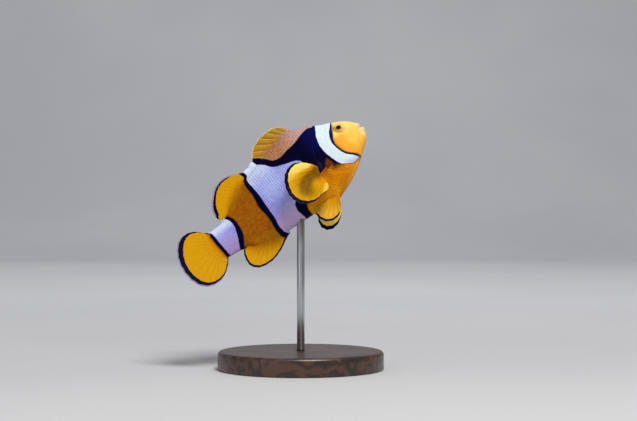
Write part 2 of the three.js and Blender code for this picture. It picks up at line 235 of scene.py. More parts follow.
tail_end = smooth([[-4, 60.5], [-1.5, 60.7], [2, 60.8], [5, 60.7], [6.6, 60.9], [7.8, 61.7]])
# The black line behind the middle bar, as [height, width], and those before and behind the tail's.
mid_line = smooth([[-8, 1.6], [-4, 1.7], [-0.5, 2], [2.5, 2.4], [6, 1.9], [10, 1.7], [13, 1.4], [16, 1.2]])
TAIL_FRONT_LINE = 1.5
TAIL_END_LINE = 1.15
# The head bar's lower end and the warm patch along the back, as [station, lowest height].
head_low = smooth([[5, -5.6], [7.4, -6.4], [8.9, -7], [10.3, -7.25], [11.4, -6.8], [12.7, -6], [14.5, -4.8]])
patch_low = smooth([
    [11, 10.4], [12.4, 11.6], [13.6, 12.2], [15.1, 12.1], [18.2, 11.4], [20.6, 10.8], [24, 10.7],
    [27.7, 10.6], [29.8, 12], [31.2, 15], [32.3, 17.3], [33.7, 18.6], [34.6, 19.8], [35.6, 24],
])
# Behind this station the bars' marks stay off the fins, up to the tail fin.
MARKS_END = 47
# A place this far outside a marking shows none of it.
UNMARKED = -9.0

# ---- colours, as red, green and blue up to 255 ----
HEAD_ORANGE = (252, 190, 78)
# a painted highlight on top of the head; the same pale orange also lies at the front of the lower lip
BROW_ORANGE = (255, 214, 132)
# partly the lips' own paler colour, partly a painted highlight on their tips
LIP_HIGHLIGHT_PINK = (255, 216, 186)
CHEEK_ORANGE = (248, 154, 34)
CHIN_ORANGE = (255, 178, 58)
BREAST_ORANGE = (202, 120, 4)
# painted shadow on the flank by the pectoral fin's root
ROOT_SHADOW_BROWN = (128, 66, 0)
# painted light on the underside of the belly
BELLY_PAINTED_LIGHT = (240, 166, 16)
REAR_ORANGE = (147, 77, 0)
BODY_FLECK = (255, 196, 60)
PATCH_LILAC = (178, 146, 156)
PATCH_BROWN = (158, 98, 62)
PATCH_OLIVE = (160, 106, 40)
PATCH_FLECK = (220, 170, 148)
RUST = (78, 10, 6)
GOLD = (152, 100, 0)
# painted shade in the mouth's slit and the nostrils
SLIT_SHADE = (112, 44, 12)
FIN_YELLOW = (200, 144, 0)
FIN_DEEP = (212, 136, 2)
# The next two are painted light and painted shade on the paired fins.
FIN_PAINTED_LIGHT = (255, 216, 98)
FIN_SHADOW = (96, 66, 0)
FIN_FLECK = (250, 190, 20)
FIN_EDGE = (150, 136, 178)
SPINY_OLIVE = (178, 132, 36)
# The next two are painted shade between the spiny fin's spines and a painted highlight along each spine,
# where light falls on its folds.
SPINY_PAINTED_SHADE = (118, 80, 4)
SPINY_RAY_HIGHLIGHT = (204, 168, 96)
SPINY_HEM = (232, 214, 164)
RAY_BROWN = (140, 76, 0)
HEAD_BAR_WHITE = (216, 234, 240)
# The bars' lavenders and pinks are partly their own colour and partly painted shade; the pale one is painted
# light on their tops.
BAR_LAVENDER = (168, 178, 236)
BAR_SHADE = (144, 144, 218)
BAR_TOP_LIGHT = (214, 226, 248)
BAR_PINK_SHADE = (160, 128, 178)
BAR_ROSE_SHADE = (204, 174, 216)
BAR_FLECK = (236, 240, 252)
INK = (0, 0, 34)
INK_FLECK = (4, 8, 50)
INK_BLUE = (4, 10, 84)
IRIS_PALE = (255, 212, 116)
IRIS_WARM = (250, 192, 84)
IRIS_WEDGE = (204, 132, 14)
IRIS_ARC = (176, 122, 44)
IRIS_STREAK = (104, 72, 16)
IRIS_INNER = (206, 150, 60)
IRIS_OUTER = (216, 150, 50)
PUPIL_BLACK = (3, 3, 6)


# ---- from the straight fish to the fish on its stand ----
LINE_STEP = 0.05
line_stations = np.arange(-4, 82, LINE_STEP)
line_turns = np.radians(bend_at(line_stations + LINE_STEP / 2))


def line_walk(steps, start):
    """The bent middle line's way along or across, counted from the station where it runs straight."""
    walked = start + np.concatenate([[0], np.cumsum(steps * LINE_STEP)[:-1]])
    return walked + start - np.interp(STRAIGHT_STATION, line_stations, walked)


line_back = line_walk(np.cos(line_turns), STRAIGHT_STATION)
line_right = line_walk(np.sin(line_turns), 0)


def bent(place):
    """Places on the straight fish carried along by the bend, into its own frame: +X ahead, +Y left, +Z up."""
    station, left, up = np.moveaxis(np.asarray(place, float), -1, 0)
    turn = np.radians(bend_at(station))
    back = np.interp(station, line_stations, line_back)
    right = np.interp(station, line_stations, line_right)
    return np.stack([-(back + left * np.sin(turn)), left * np.cos(turn) - right, up], -1)


def stance():
    cos_up, sin_up = math.cos(-HEAD_UP), math.sin(-HEAD_UP)
    cos_away, sin_away = math.cos(-BACK_AWAY), math.sin(-BACK_AWAY)
    pitch = np.array([[cos_up, 0, sin_up], [0, 1, 0], [-sin_up, 0, cos_up]])
    bank = np.array([[1, 0, 0], [0, cos_away, -sin_away], [0, sin_away, cos_away]])
    return pitch @ bank


STANCE = stance()
FISH_PLACE = np.array([0, 0, BELLY_HEIGHT]) - STANCE @ bent((ROD_STATION, 0, belly_at(ROD_STATION)))


def to_world(points):
    return (points @ STANCE.T + FISH_PLACE) * MM


# ---- meshes ----
def new_object(name, points, faces, smooth_faces=True):
    """A mesh object from points in metres and a list of index arrays, one for each number of corners."""
    mesh = bpy.data.meshes.new(name)
    faces = [np.asarray(part, np.int32) for part in faces if len(part)]
    corners = np.concatenate([part.ravel() for part in faces])
    sizes = np.concatenate([np.full(len(part), part.shape[1], np.int32) for part in faces])
    mesh.vertices.add(len(points))
    mesh.vertices.foreach_set("co", np.asarray(points, np.float32).ravel())
    mesh.loops.add(len(corners))
    mesh.loops.foreach_set("vertex_index", corners)
    mesh.polygons.add(len(sizes))
    starts = np.concatenate([[0], np.cumsum(sizes)[:-1]]).astype(np.int32)
    mesh.polygons.foreach_set("loop_start", starts)
    mesh.polygons.foreach_set("use_smooth", np.broadcast_to(smooth_faces, len(sizes)).copy())
    mesh.update(calc_edges=True)
    mesh.validate()
    return into_scene(name, mesh)


def into_scene(name, data):
    made = bpy.data.objects.new(name, data)
    bpy.context.scene.collection.objects.link(made)
    return made


def give(made, **fields):
    """Stores a number, or a vector, on each of the mesh's points."""
    for name, values in fields.items():
        values = np.asarray(values, np.float32)
        vector = values.ndim == 2
        attribute = made.data.attributes.new(name, "FLOAT_VECTOR" if vector else "FLOAT", "POINT")
        attribute.data.foreach_set("vector" if vector else "value", values.ravel())


def give_unwrap(made, spots):
    """The OFBake map, from one spot on the unwrap for each of the mesh's points."""
    layer = made.data.uv_layers.new(name="OFBake")
    corner_points = np.empty(len(made.data.loops), np.int32)
    made.data.loops.foreach_get("vertex_index", corner_points)
    layer.data.foreach_set("uv", np.asarray(spots, np.float32)[corner_points].ravel())


def grid_quads(columns, rows, wrap=False, start=0):
    """Quads over a grid of points held row by row, columns to a row, closed round the columns if wrap."""
    across = np.arange(columns if wrap else columns - 1)
    down = np.arange(rows - 1)[:, None]
    here = down * columns + across
    beside = down * columns + (across + 1) % columns
    quads = np.stack([here, beside, beside + columns, here + columns], -1)
    return quads.reshape(-1, 4) + start


def tube_faces(sides, rows, flip=False):
    """The faces of a closed tube: its points are held ring by ring, then one for each end."""
    near = np.arange(sides)
    beside = (near + 1) % sides
    first, last = rows * sides, (rows - 1) * sides
    caps = np.vstack([
        np.stack([np.full_like(near, first), beside, near], -1),
        np.stack([np.full_like(near, first + 1), last + near, last + beside], -1),
    ])
    faces = [grid_quads(sides, rows, wrap=True), caps]
    return [part[:, ::-1] for part in faces] if flip else faces


def sheet_faces(columns, rows):
    """The faces of a closed sheet: the points of one side's grid, then the other's, joined round the rim."""
    size = columns * rows
    end = size - rows
    column = np.arange(rows - 1)
    row = np.arange(columns - 1) * rows
    top = row + rows - 1
    rims = [(column, column + 1), (end + column + 1, end + column), (row + rows, row), (top, top + rows)]
    walls = [np.stack([a, b, b + size, a + size], -1) for a, b in rims]
    return [grid_quads(rows, columns)[:, ::-1], grid_quads(rows, columns, start=size), *walls]


def normals_of(place, first, second, step=1e-4):
    """The direction out of a surface place(first, second), from its own slopes."""
    along = place(first + step, second) - place(first - step, second)
    around = place(first, second + step) - place(first, second - step)
    normal = np.cross(along, around)
    return normal / np.maximum(np.linalg.norm(normal, axis=-1, keepdims=True), 1e-12)


# ---- the body's shape ----
def turn_to_station(turn):
    """The nose is rounded, so its rings are counted by an angle; past it the same count runs on evenly."""
    nose = NOSE_LENGTH * (1 - np.cos(np.minimum(turn, QUARTER)))
    return nose + NOSE_LENGTH * np.maximum(turn - QUARTER, 0)


def station_to_turn(station):
    nose = np.arccos(np.clip(1 - station / NOSE_LENGTH, -1, 1))
    return np.where(station < NOSE_LENGTH, nose, QUARTER + (station - NOSE_LENGTH) / NOSE_LENGTH)


def body_place(turn, angle):
    """A place on the straight body's surface; angle is 0 at the left, a quarter turn at the back."""
    station = turn_to_station(turn)
    nose = np.sin(np.clip(turn, 0, QUARTER))
    wedge = 1 - 0.8 * np.clip((station - TAIL_ROOT) / TAIL_WEDGE, 0, 1)
    middle = widest_at(station)
    side = np.sign(np.cos(angle)) * np.abs(np.cos(angle)) ** FLANK_FULLNESS
    reach = np.where(np.sin(angle) > 0, back_at(station) - middle, middle - belly_at(station))
    left = half_width_at(station) * nose * wedge * side
    return np.stack([station, left, middle + np.sin(angle) * reach * nose], -1)


def rim_distance(rim, station, height):
    """How far outside an oval a place is, in millimetres, and the cosine of its direction from the middle."""
    middle, level, length, rise = rim
    along = (station - middle) / length
    size = np.sqrt(along**2 + ((height - level) / rise) ** 2) + 1e-9
    return (size - 1) * (length + rise) / 2, along / size


def root_distance(station, height):
    """How far a place on the flank is from the line that the pectoral fin grows from."""
    (s0, h0), (s1, h1) = PECTORAL_ROOT
    share = ((station - s0) * (s1 - s0) + (height - h0) * (h1 - h0)) / ((s1 - s0) ** 2 + (h1 - h0) ** 2)
    share = np.clip(share, 0, 1)
    return np.hypot(station - s0 - share * (s1 - s0), height - h0 - share * (h1 - h0))


def gape_offset(station, height):
    """How far a place is over the line of the mouth."""
    return height - (GAPE_HEIGHT + GAPE_SLOPE * station)


def lip_relief(off, station):
    """The lips' share of the relief: the slit, an upper lip set back behind the lower one, and folds."""
    lips = 1 - step_up(2.2, 4.2, station)
    tip = 1 - step_up(0.3, 1.9, station)
    out = -mix(0.12, 0.5, tip) * bell(off, mix(0.12, 0.22, tip)) * (1 - step_up(2.4, 3.6, station))
    out -= 0.9 * step_up(-0.15, 0.1, off) * (1 - step_up(0.4, 1.3, off)) * tip
    out += 0.1 * bell(off - 0.6, 0.4) * lips + mix(0.14, 0.22, tip) * bell(off + 0.7, 0.65) * lips
    out += 0.4 * bell(off - 1.9, 1.1) * step_up(0.1, 0.9, off) * (1 - step_up(1.5, 3.4, station))
    return out - (0.07 * bell(off - 1.4, 0.2) + 0.08 * bell(off + 1.7, 0.25)) * lips


def relief(place):
    """How far the skin stands out of the plain body: lips, nostrils, cheek, gill cover and fin roots."""
    station, left, up = np.moveaxis(place, -1, 0)
    off = gape_offset(station, up)
    out = lip_relief(off, station) + 0.22 * bell(station - 1.9, 1) * step_up(2.4, 4.2, up)
    out += 0.1 * bell(station - 8, 2.6) * step_up(5.5, 8.5, up)
    out += 0.36 * bell(station - 15, 4) * step_up(9, 13, up)
    out += 0.2 * step_up(-0.5, -2.5, up) * (1 - step_up(8, 13, station))
    corner = np.hypot((station - 4.2) / 0.6, (off + 0.1) / 1.1)
    out -= 0.08 * bell(corner - 0.9, 0.35) * step_up(3.8, 4.4, station)
    nostril = np.hypot(station - NOSTRIL[0], up - NOSTRIL[1])
    out += 0.1 * bell(nostril - 0.3, 0.1) - 0.5 * bell(nostril, 0.17)
    ahead, over = station - EYE_PLACE[0], up - EYE_PLACE[2]
    out += 0.12 * bell(np.hypot(ahead / 2.6, over / 2.4) - 1, 0.3) * step_up(0, 1.6, over)
    out -= 0.06 * bell(np.hypot(ahead / 3, over / 3.2) - 1, 0.09) * step_up(0.3, 1.6, -over)
    cheek, _ = rim_distance(CHEEK_RIM, station, up)
    on_cheek = step_up(6.4, 7.4, station) * (1 - step_up(2.6, 4.2, up))
    out -= on_cheek * (0.13 * bell(cheek, 0.14) + 0.08 * step_up(-0.1, 0.1, cheek) * bell(cheek, 1.2))
    gill, ahead = rim_distance(GILL_RIM, station, up)
    outside = step_up(-0.09, 0.09, gill)
    flap = mix(0.12 * np.exp(np.minimum(gill, 0) / 1.6), -0.12 * np.exp(-np.maximum(gill, 0) / 0.9), outside)
    out += step_up(0, 0.3, ahead) * flap * mix(0.5, 1, step_up(-5.5, -2, up))
    throat = np.abs(left) - 1.1 + 0.06 * (station - 6)
    on_throat = step_up(4.5, 6.5, station) * (1 - step_up(13.5, 16, station)) * step_up(-4.5, -6, up)
    folds = 0.16 * bell(throat, 0.16) + 0.09 * bell(throat - 0.7, 0.13) + 0.07 * bell(throat - 1.3, 0.13)
    out -= on_throat * folds
    dorsal = step_up(18, 19.6, station) * (1 - step_up(50.5, 53, station)) * (up > 4)
    anal = step_up(40.4, 41.6, station) * (1 - step_up(51.5, 54, station)) * (up < 0)
    out += 0.5 * bell(left, 1.1) * (dorsal + anal)
    vent = np.hypot((station - VENT_STATION) / 0.6, left / 0.35)
    out += (0.16 * bell(vent - 1, 0.4) - 0.3 * bell(vent, 0.5)) * (up < 0)
    out += 0.36 * bell(root_distance(station, up), 1.1)
    root_station, root_left = PELVIC_SWELLING
    pelvic = bell(np.hypot((station - root_station) / 1.9, (np.abs(left) - root_left) / 0.9), 1)
    return out + 0.55 * pelvic * (up < -7)


def eye_frame(side):
    """An eye's middle and its gaze, in the fish's own frame."""
    station, left, up = EYE_PLACE
    ahead, out, rise = EYE_GAZE
    gaze = np.array([ahead, out * side, rise])
    return bent((station, left * side, up)), gaze / np.linalg.norm(gaze)


def seat_eyes(points):
    """Draws the skin round each eye into a round rim that meets the eyeball, with a hollow behind it."""
    for side in (RIGHT, LEFT):
        middle, gaze = eye_frame(side)
        away = points - middle
        depth = away @ gaze
        ring = np.linalg.norm(away - depth[..., None] * gaze, axis=-1) - IRIS_RADIUS
        lip = math.sqrt(EYE_RADIUS**2 - IRIS_RADIUS**2) + 0.05 * bell(ring - 0.16, 0.16) - 0.06 * ring
        goal = mix(lip - 1.2, lip, step_up(-0.14, 0.01, ring))
        held = (1 - step_up(0.35, 1.25, ring)) * (depth > -0.5)
        points = points + ((goal - depth) * held)[..., None] * gaze
    return points


def body_surface(turn, angle, lift):
    """A place lift millimetres over the skin, in the fish's own frame, and its place on the straight body."""
    place = body_place(turn, angle)
    normal = normals_of(lambda a, b: bent(body_place(a, b)), turn, angle, 1e-3)
    height = relief(place) - SKIN_DEPTH + lift
    return seat_eyes(bent(place) + normal * height[..., None]), place


# ---- markings: how far inside the white or the black each place is, in millimetres ----
def past(curve, height, station):
    """How far behind a marking's edge a place is, measured square to the edge."""
    slope = (curve(height + 0.05) - curve(height - 0.05)) / 0.1
    return (station - curve(height)) / np.sqrt(1 + slope**2)


def within(*limits):
    return np.minimum.reduce(limits)


def markings(place):
    """How far inside the white, the black and the warm patch a place is."""
    station, _, up = np.moveaxis(place, -1, 0)
    edges = (head_front, head_rear, mid_front, mid_rear, tail_front)
    from_head, past_head, from_mid, past_mid, from_tail = (past(edge, up, station) for edge in edges)
    past_tail = station - tail_end(up)
    above_patch = past(patch_low, station, up)
    above_throat = past(head_low, station, up)
    tail_line = TAIL_FRONT_LINE * mix(0.8, 1.34, bell(up + 0.5, 3))
    end_line = TAIL_END_LINE * mix(1, 0.4, step_up(5.2, 7.2, up))
    white = np.maximum.reduce([
        within(from_head, -past_head, above_throat),
        within(from_mid, -past_mid),
        within(from_tail - tail_line, -past_tail),
    ])
    # The black runs on under the white, so that each edge is measured by itself.
    front_line = mix(0.6, 0.34, step_up(6.5, 8.5, up)) + 0.6 * bell(up - 4.3, 2.2)
    rear_line = step_up(-8.4, -6.2, up)
    black = np.maximum.reduce([
        within(from_head + front_line, rear_line - past_head, above_throat + 0.05),
        within(past(saddle_front, up, station), 0.6 - from_mid, past_head, -above_patch),
        within(from_mid, mid_line(up) - past_mid),
        within(from_tail, end_line - past_tail),
    ])
    return white, black, above_patch


def marks_on_fin(place):
    """The markings as they run on over a fin: they stay off it between MARKS_END and the tail fin."""
    white, black, above_patch = markings(place)
    fades = (place[..., 0] > MARKS_END) & (place[..., 0] < TAIL_ROOT)
    return np.where(fades, UNMARKED, white), np.where(fades, UNMARKED, black), above_patch


# ---- materials ----
LIVING_ROUGHNESS = (0.42, 0.56)
LIVING_SPECULAR = 0.045
SKIN_WAVER = 0.3
FIN_WAVER = 0.25


def rgb(colour):
    """A colour of up to 255 in each part as Blender's linear one."""
    share = np.array(colour) / 255
    linear = np.where(share > 0.04045, ((share + 0.055) / 1.055) ** 2.4, share / 12.92)
    return (*linear.tolist(), 1.0)


class Painter:
    """A material's nodes, each method adding some and giving their output."""

    def __init__(self, name):
        material = bpy.data.materials.new(name)
        material.use_nodes = True
        self.material = material
        self.tree = material.node_tree

    def put(self, socket, value):
        if isinstance(value, bpy.types.NodeSocket):
            self.tree.links.new(value, socket)
        else:
            socket.default_value = value

    def add(self, kind, inputs, output=0, **settings):
        """A node with its settings, and with its inputs by name or number."""
        node = self.tree.nodes.new("ShaderNode" + kind)
        for name, value in settings.items():
            setattr(node, name, value)
        for socket, value in inputs.items():
            self.put(node.inputs[socket], value)
        return node.outputs[output]

    def math(self, operation, *values):
        return self.add("Math", dict(enumerate(values)), operation=operation)

    def times(self, *values):
        return functools.reduce(lambda a, b: self.math("MULTIPLY", a, b), values)

    def plus(self, *values):
        return functools.reduce(lambda a, b: self.math("ADD", a, b), values)

    def field(self, name):
        return self.add("Attribute", {}, "Fac", attribute_name=name)

    def place(self, name="rest"):
        return self.add("Attribute", {}, "Vector", attribute_name=name)

    def own_place(self, scale=(1, 1, 1)):
        """A place in the piece's own space, in metres, with each way stretched."""
        return self.stretch(self.add("TexCoord", {}, "Object"), scale)

    def stretch(self, vector, scale):
        return self.add("Mapping", {"Vector": vector, "Scale": scale})

    def parts(self, vector):
        return [self.add("SeparateXYZ", {0: vector}, axis) for axis in "XYZ"]

    def noise(self, vector, scale, detail=3, roughness=0.55):
        inputs = {"Vector": vector, "Scale": scale, "Detail": detail, "Roughness": roughness}
        return self.add("TexNoise", inputs, "Fac")

    def ramp(self, value, low, high, to_low=0, to_high=1):
        inputs = dict(enumerate((value, low, high, to_low, to_high)))
        return self.add("MapRange", inputs, interpolation_type="SMOOTHSTEP")

    def blend(self, share, first, second, way="MIX"):
        first, second = (rgb(colour) if isinstance(colour, tuple) else colour for colour in (first, second))
        return self.add("Mix", {0: share, 6: first, 7: second}, 2, data_type="RGBA", blend_type=way)

    def over(self, ground, *layers):
        """A ground with colours laid over it in turn, each by its own share."""
        for share, colour in layers:
            ground = self.blend(share, ground, colour)
        return ground

    def bump(self, height, distance, strength):
        return self.add("Bump", {"Strength": strength, "Distance": distance * MM, "Height": height})

    def set(self, **values):
        shader = next(node for node in self.tree.nodes if node.type == "BSDF_PRINCIPLED")
        for name, value in values.items():
            self.put(shader.inputs[name.replace("_", " ")], value)
        return self.material

    def set_living(self, colour, patches, bump):
        """The fish's soft, slightly uneven gloss, with a bump of some height, distance and strength."""
        rough = self.ramp(self.noise(self.place(), patches), 0.3, 0.7, *LIVING_ROUGHNESS)
        self.set(Base_Color=colour, Roughness=rough, Normal=self.bump(*bump))
        return self.set(Specular_IOR_Level=LIVING_SPECULAR)


def bars_over(paint, ground, wobble):
    """Lays the black and then the white over a ground colour, with slightly uneven edges."""
    place = paint.place()
    station, _, up = paint.parts(place)
    ramp, times, noise = paint.ramp, paint.times, paint.noise
    waver = times(paint.plus(noise(place, 0.9), noise(place, 7, 2), -1), wobble)
    black = ramp(paint.plus(paint.field("black"), waver), -0.09, 0.09)
    white = ramp(paint.plus(paint.field("white"), waver), -0.09, 0.09)
    tail = ramp(station, 46, 50)
    # Painted light and shade on the white bars: paler on their tops, as if lit from above, and lavender,
    # darker and pinker lower down and along the tail, where they lie in shade; the random patches of the
    # darker lavender are the bars' own.
    body_bar = paint.over(
        BAR_LAVENDER,
        (ramp(noise(place, 0.16), 0.35, 0.7), BAR_SHADE),
        (ramp(up, -2, -8, 0, 0.8), BAR_ROSE_SHADE),
        (times(tail, 0.6), BAR_SHADE),
        (times(tail, ramp(up, 4, -2, 0, 0.7)), BAR_PINK_SHADE),
        (times(tail, ramp(up, 3, 6.5, 0, 0.8)), BAR_TOP_LIGHT),
        (times(ramp(up, 7, 14, 0, 0.75), ramp(station, 28, 34)), BAR_TOP_LIGHT),
    )
    # The head bar is whiter than the body's bars and turns lavender low down: partly painted shade over the
    # body's bars and the head bar's low end.
    bar = paint.over(
        HEAD_BAR_WHITE,
        (ramp(up, -5, -7, 0, 0.6), BAR_LAVENDER),
        (ramp(station, 15, 21), body_bar),
        (ramp(noise(place, 5, 2), 0.55, 0.75, 0, 0.15), BAR_FLECK),
    )
    ink = paint.over(
        INK,
        (ramp(noise(place, 1.3), 0.5, 0.8, 0, 0.35), INK_FLECK),
        (ramp(paint.field("white"), -0.7, 0, 0, 0.7), INK_BLUE),
        (times(ramp(station, 20, 15, 0, 0.6), ramp(up, 1, 5)), INK_BLUE),
    )
    return paint.over(ground, (black, ink), (white, bar))


def patch_front(paint, station):
    return paint.blend(paint.ramp(station, 16, 26), PATCH_LILAC, PATCH_BROWN)


def skin_ground(paint):
    """The orange of the body: bright on the head, deeper behind, with a brown patch along the back. The
    deeper orange behind is partly the fish's own and partly painted shade; painted light and shade also lie
    on it: a paler brow, lip tips and throat keel, a lighter belly, and a painted shadow by the pectoral fin's
    root.
    """
    place = paint.place()
    station, left, up = paint.parts(place)
    ramp, times, noise = paint.ramp, paint.times, paint.noise
    black = paint.field("black")
    lit_keel = ramp(paint.math("ABSOLUTE", left), 2.6, 0.6, 0, 0.6)
    root_shadow_height = times(ramp(up, 0.5, -1.5), ramp(up, -8.5, -3.5, 0, 0.8))
    patch = paint.over(
        patch_front(paint, station),
        (ramp(station, 27, 34), PATCH_OLIVE),
        (ramp(noise(place, 2.2, 2), 0.42, 0.6, 0, 0.4), PATCH_FLECK),
    )
    return paint.over(
        HEAD_ORANGE,
        (ramp(up, -1, -6), CHIN_ORANGE),
        # painted highlight: the top of the head paler, as if lit from above
        (ramp(up, 0.5, 6), BROW_ORANGE),
        (times(ramp(station, 5.2, 7.4), ramp(up, 3.4, 1.8, 0, 0.7)), CHEEK_ORANGE),
        # from the breast back, and again behind, the orange deepens: partly the fish's own colour, partly
        # painted shade
        (ramp(station, 8, 14.5), BREAST_ORANGE),
        (ramp(station, 36, 43), REAR_ORANGE),
        (ramp(station, 60, 63), FIN_DEEP),
        (paint.field("yellow"), FIN_YELLOW),
        # the lips' tips paler and pinker: partly their own colour, partly a painted highlight
        (ramp(station, 2.2, 0.4, 0, 0.75), LIP_HIGHLIGHT_PINK),
        (times(ramp(station, 2.4, 0.8, 0, 0.6), ramp(up, 0.5, -1.5)), BROW_ORANGE),
        # painted light: the throat's middle line underneath kept as bright as the head, against the shade
        # there
        (times(lit_keel, ramp(station, 3, 7), ramp(station, 20, 15), ramp(up, 0, -4)), HEAD_ORANGE),
        # painted shadow on the flank behind and below the pectoral fin's root
        (times(root_shadow_height, ramp(station, 16.6, 19.2), ramp(station, 24.5, 21.5)), ROOT_SHADOW_BROWN),
        # painted light: the underside of the belly lighter, against the shade it lies in
        (times(ramp(up, -7.5, -10, 0, 0.55), ramp(station, 17, 20), ramp(station, 35, 32)), BELLY_PAINTED_LIGHT),
        (ramp(black, -0.55, 0, 0, 0.55), RUST),
        (times(ramp(black, -2.7, -0.4), ramp(station, 11.5, 13.5), ramp(station, 20, 17.5),
               ramp(up, -7.4, -4.8)), RUST),
        (times(ramp(paint.field("patch"), -0.1, 0.3), ramp(station, 38, 35)), patch),
        (ramp(noise(place, 0.7, 4, 0.6), 0.3, 0.75, 0, 0.1), BODY_FLECK),
    )


def skin_material():
    paint = Painter("fish_skin")
    place = paint.place()
    colour = paint.over(
        bars_over(paint, skin_ground(paint), SKIN_WAVER),
        (paint.times(paint.field("gold"), 0.9), GOLD),
        # painted shade in the mouth's slit and in the nostrils
        (paint.ramp(paint.field("hollow"), 0.35, 0.95, 0, 0.1), SLIT_SHADE),
    )
    pores = paint.add("TexVoronoi", {"Vector": place, "Scale": 5}, "Distance")
    height = paint.plus(paint.noise(place, 9), paint.ramp(pores, 0, 0.35))
    return paint.set_living(colour, 1.6, (height, 0.02, 0.5))


def scale_material():
    """The skin's colours again, a little darker under each scale's free edge and finely ridged."""
    paint = Painter("fish_scales")
    colour = bars_over(paint, skin_ground(paint), SKIN_WAVER)
    tint, across, along = paint.parts(paint.place("plate"))
    lit = paint.blend(1, colour, (255, 226, 190), "OVERLAY")
    colour = paint.blend(paint.ramp(tint, 0, 1, 0, 0.1), colour, lit)
    shaded = paint.blend(1, colour, (190, 160, 150), "MULTIPLY")
    colour = paint.blend(paint.ramp(along, 0.62, 1, 0, 0.07), colour, shaded)
    spokes = paint.times(paint.math("SINE", paint.times(across, 30)), 0.5)
    rings = paint.times(paint.math("SINE", paint.times(along, 34)), 0.3)
    height = paint.plus(spokes, rings, paint.noise(paint.place(), 8, 2))
    return paint.set_living(colour, 1.6, (height, 0.006, 0.5))


def fin_material():
    """Yellow membranes between darker rays, with a black band and a pale hem along the edge. Painted light
    and painted shade lie on the paired fins, and the spiny fin has a painted highlight along each spine with
    painted shade between them.
    """
    paint = Painter("fish_fins")
    place = paint.place()
    station = paint.parts(place)[0]
    over_rays, ray, reach = paint.parts(paint.place("weave"))
    ramp, times, noise = paint.ramp, paint.times, paint.noise
    painted_light, spiny = paint.field("painted_light"), paint.field("spiny")
    outward = ramp(paint.plus(reach, noise(place, 0.8)), 0.5, 1.1)
    outer = times(spiny, ramp(reach, 0.1, 0.45))
    between = paint.math("SINE", times(over_rays, TAU * FIN_KINDS["dorsal_fin_spiny"]["rays"]))
    ground = paint.over(
        paint.blend(paint.field("tone"), FIN_DEEP, REAR_ORANGE),
        (paint.field("yellow"), FIN_YELLOW),
        (spiny, paint.blend(outward, patch_front(paint, station), SPINY_OLIVE)),
        # painted light and painted shade on the paired fins: lighter on a pectoral's bulge and over the
        # pelvic fins, darker in a pectoral's hollow and by its root
        (ramp(painted_light, 0, 0.9), FIN_PAINTED_LIGHT),
        (ramp(painted_light, 0, -1.1, 0, 0.9), FIN_SHADOW),
        (ramp(ray, 0.25, 0.9, 0, 0.13), RAY_BROWN),
        # painted shade between the spiny fin's spines and a painted highlight along each spine
        (times(outer, ramp(between, 0.1, 0.95, 0, 0.6)), SPINY_PAINTED_SHADE),
        (times(outer, ramp(ray, 0.3, 0.8, 0, 0.6)), SPINY_RAY_HIGHLIGHT),
        (ramp(noise(place, 0.8, 4), 0.35, 0.75, 0, 0.08), FIN_FLECK),
    )
    hem = ramp(paint.plus(paint.field("hem"), noise(place, 4)), 0.4, 0.6, 0, 0.85)
    colour = paint.blend(hem, bars_over(paint, ground, FIN_WAVER), paint.blend(spiny, FIN_EDGE, SPINY_HEM))
    joints = times(paint.math("SINE", times(paint.field("reach_mm"), 15)), ramp(ray, 0.2, 0.6), 0.6)
    return paint.set_living(colour, 1.3, (paint.plus(joints, noise(place, 6)), 0.012, 0.6))


def eye_material():
    """A black pupil, a fine ring and a pale iris with a brown wedge behind, under one clear coat."""
    paint = Painter("fish_eye")
    ring_place = paint.place("iris")
    over, ring, behind = paint.parts(ring_place)
    ramp, times = paint.ramp, paint.times
    streaks = paint.noise(paint.stretch(ring_place, (1, 0.6, 9)), 2, 4)
    wedge = paint.plus(times(behind, 0.8), times(over, 0.6))
    pupil = paint.plus(paint.field("pupil"), times(paint.noise(paint.place(), 2), 0.05))
    colour = paint.over(
        IRIS_PALE,
        (ramp(streaks, 0.35, 0.7), IRIS_WARM),
        (ramp(wedge, 0.4, 0.85, 0, 0.65), IRIS_WEDGE),
        (times(ramp(ring, 1, 1.2), ramp(ring, 1.5, 1.32), ramp(over, -0.35, -0.8, 0, 0.6)), IRIS_ARC),
        (times(paint.field("streak"), 0.6), IRIS_STREAK),
        (ramp(ring, 0.98, 0.9), IRIS_INNER),
        (ramp(ring, 1.5, 1.66, 0, 0.4), IRIS_OUTER),
        (ramp(pupil, 0, 0.05), PUPIL_BLACK),
    )
    paint.set(Base_Color=colour, Roughness=0.35, Specular_IOR_Level=0.15)
    return paint.set(Coat_Weight=0.22, Coat_Roughness=0.08)


def wood_material():
    paint = Painter("dark_wood")
    warp = paint.noise(paint.own_place((30, 110, 60)), 1)
    lines = paint.noise(paint.own_place((90, 1150, 500)), 1, 5, 0.6)
    rings = paint.math("SINE", paint.times(paint.plus(warp, paint.times(lines, 0.2)), 46))
    grain = paint.plus(paint.ramp(rings, -1, 1, 0, 0.6), paint.times(lines, 0.6))
    colour = paint.blend(paint.ramp(grain, 0.2, 1), (34, 20, 13), (78, 46, 27))
    rough = paint.ramp(lines, 0.3, 0.7, 0.36, 0.52)
    normal = paint.bump(lines, 0.06, 0.35)
    return paint.set(Base_Color=colour, Roughness=rough, Coat_Weight=0.3, Coat_Roughness=0.25, Normal=normal)


def steel_material():
    paint = Painter("brushed_steel")
    brush = paint.noise(paint.own_place((2600, 2600, 60)), 1)
    colour = paint.blend(paint.ramp(brush, 0.3, 0.7), (168, 171, 175), (206, 208, 210))
    rough = paint.ramp(brush, 0.3, 0.7, 0.24, 0.4)
    return paint.set(Base_Color=colour, Metallic=1, Roughness=rough, Normal=paint.bump(brush, 0.01, 0.3))


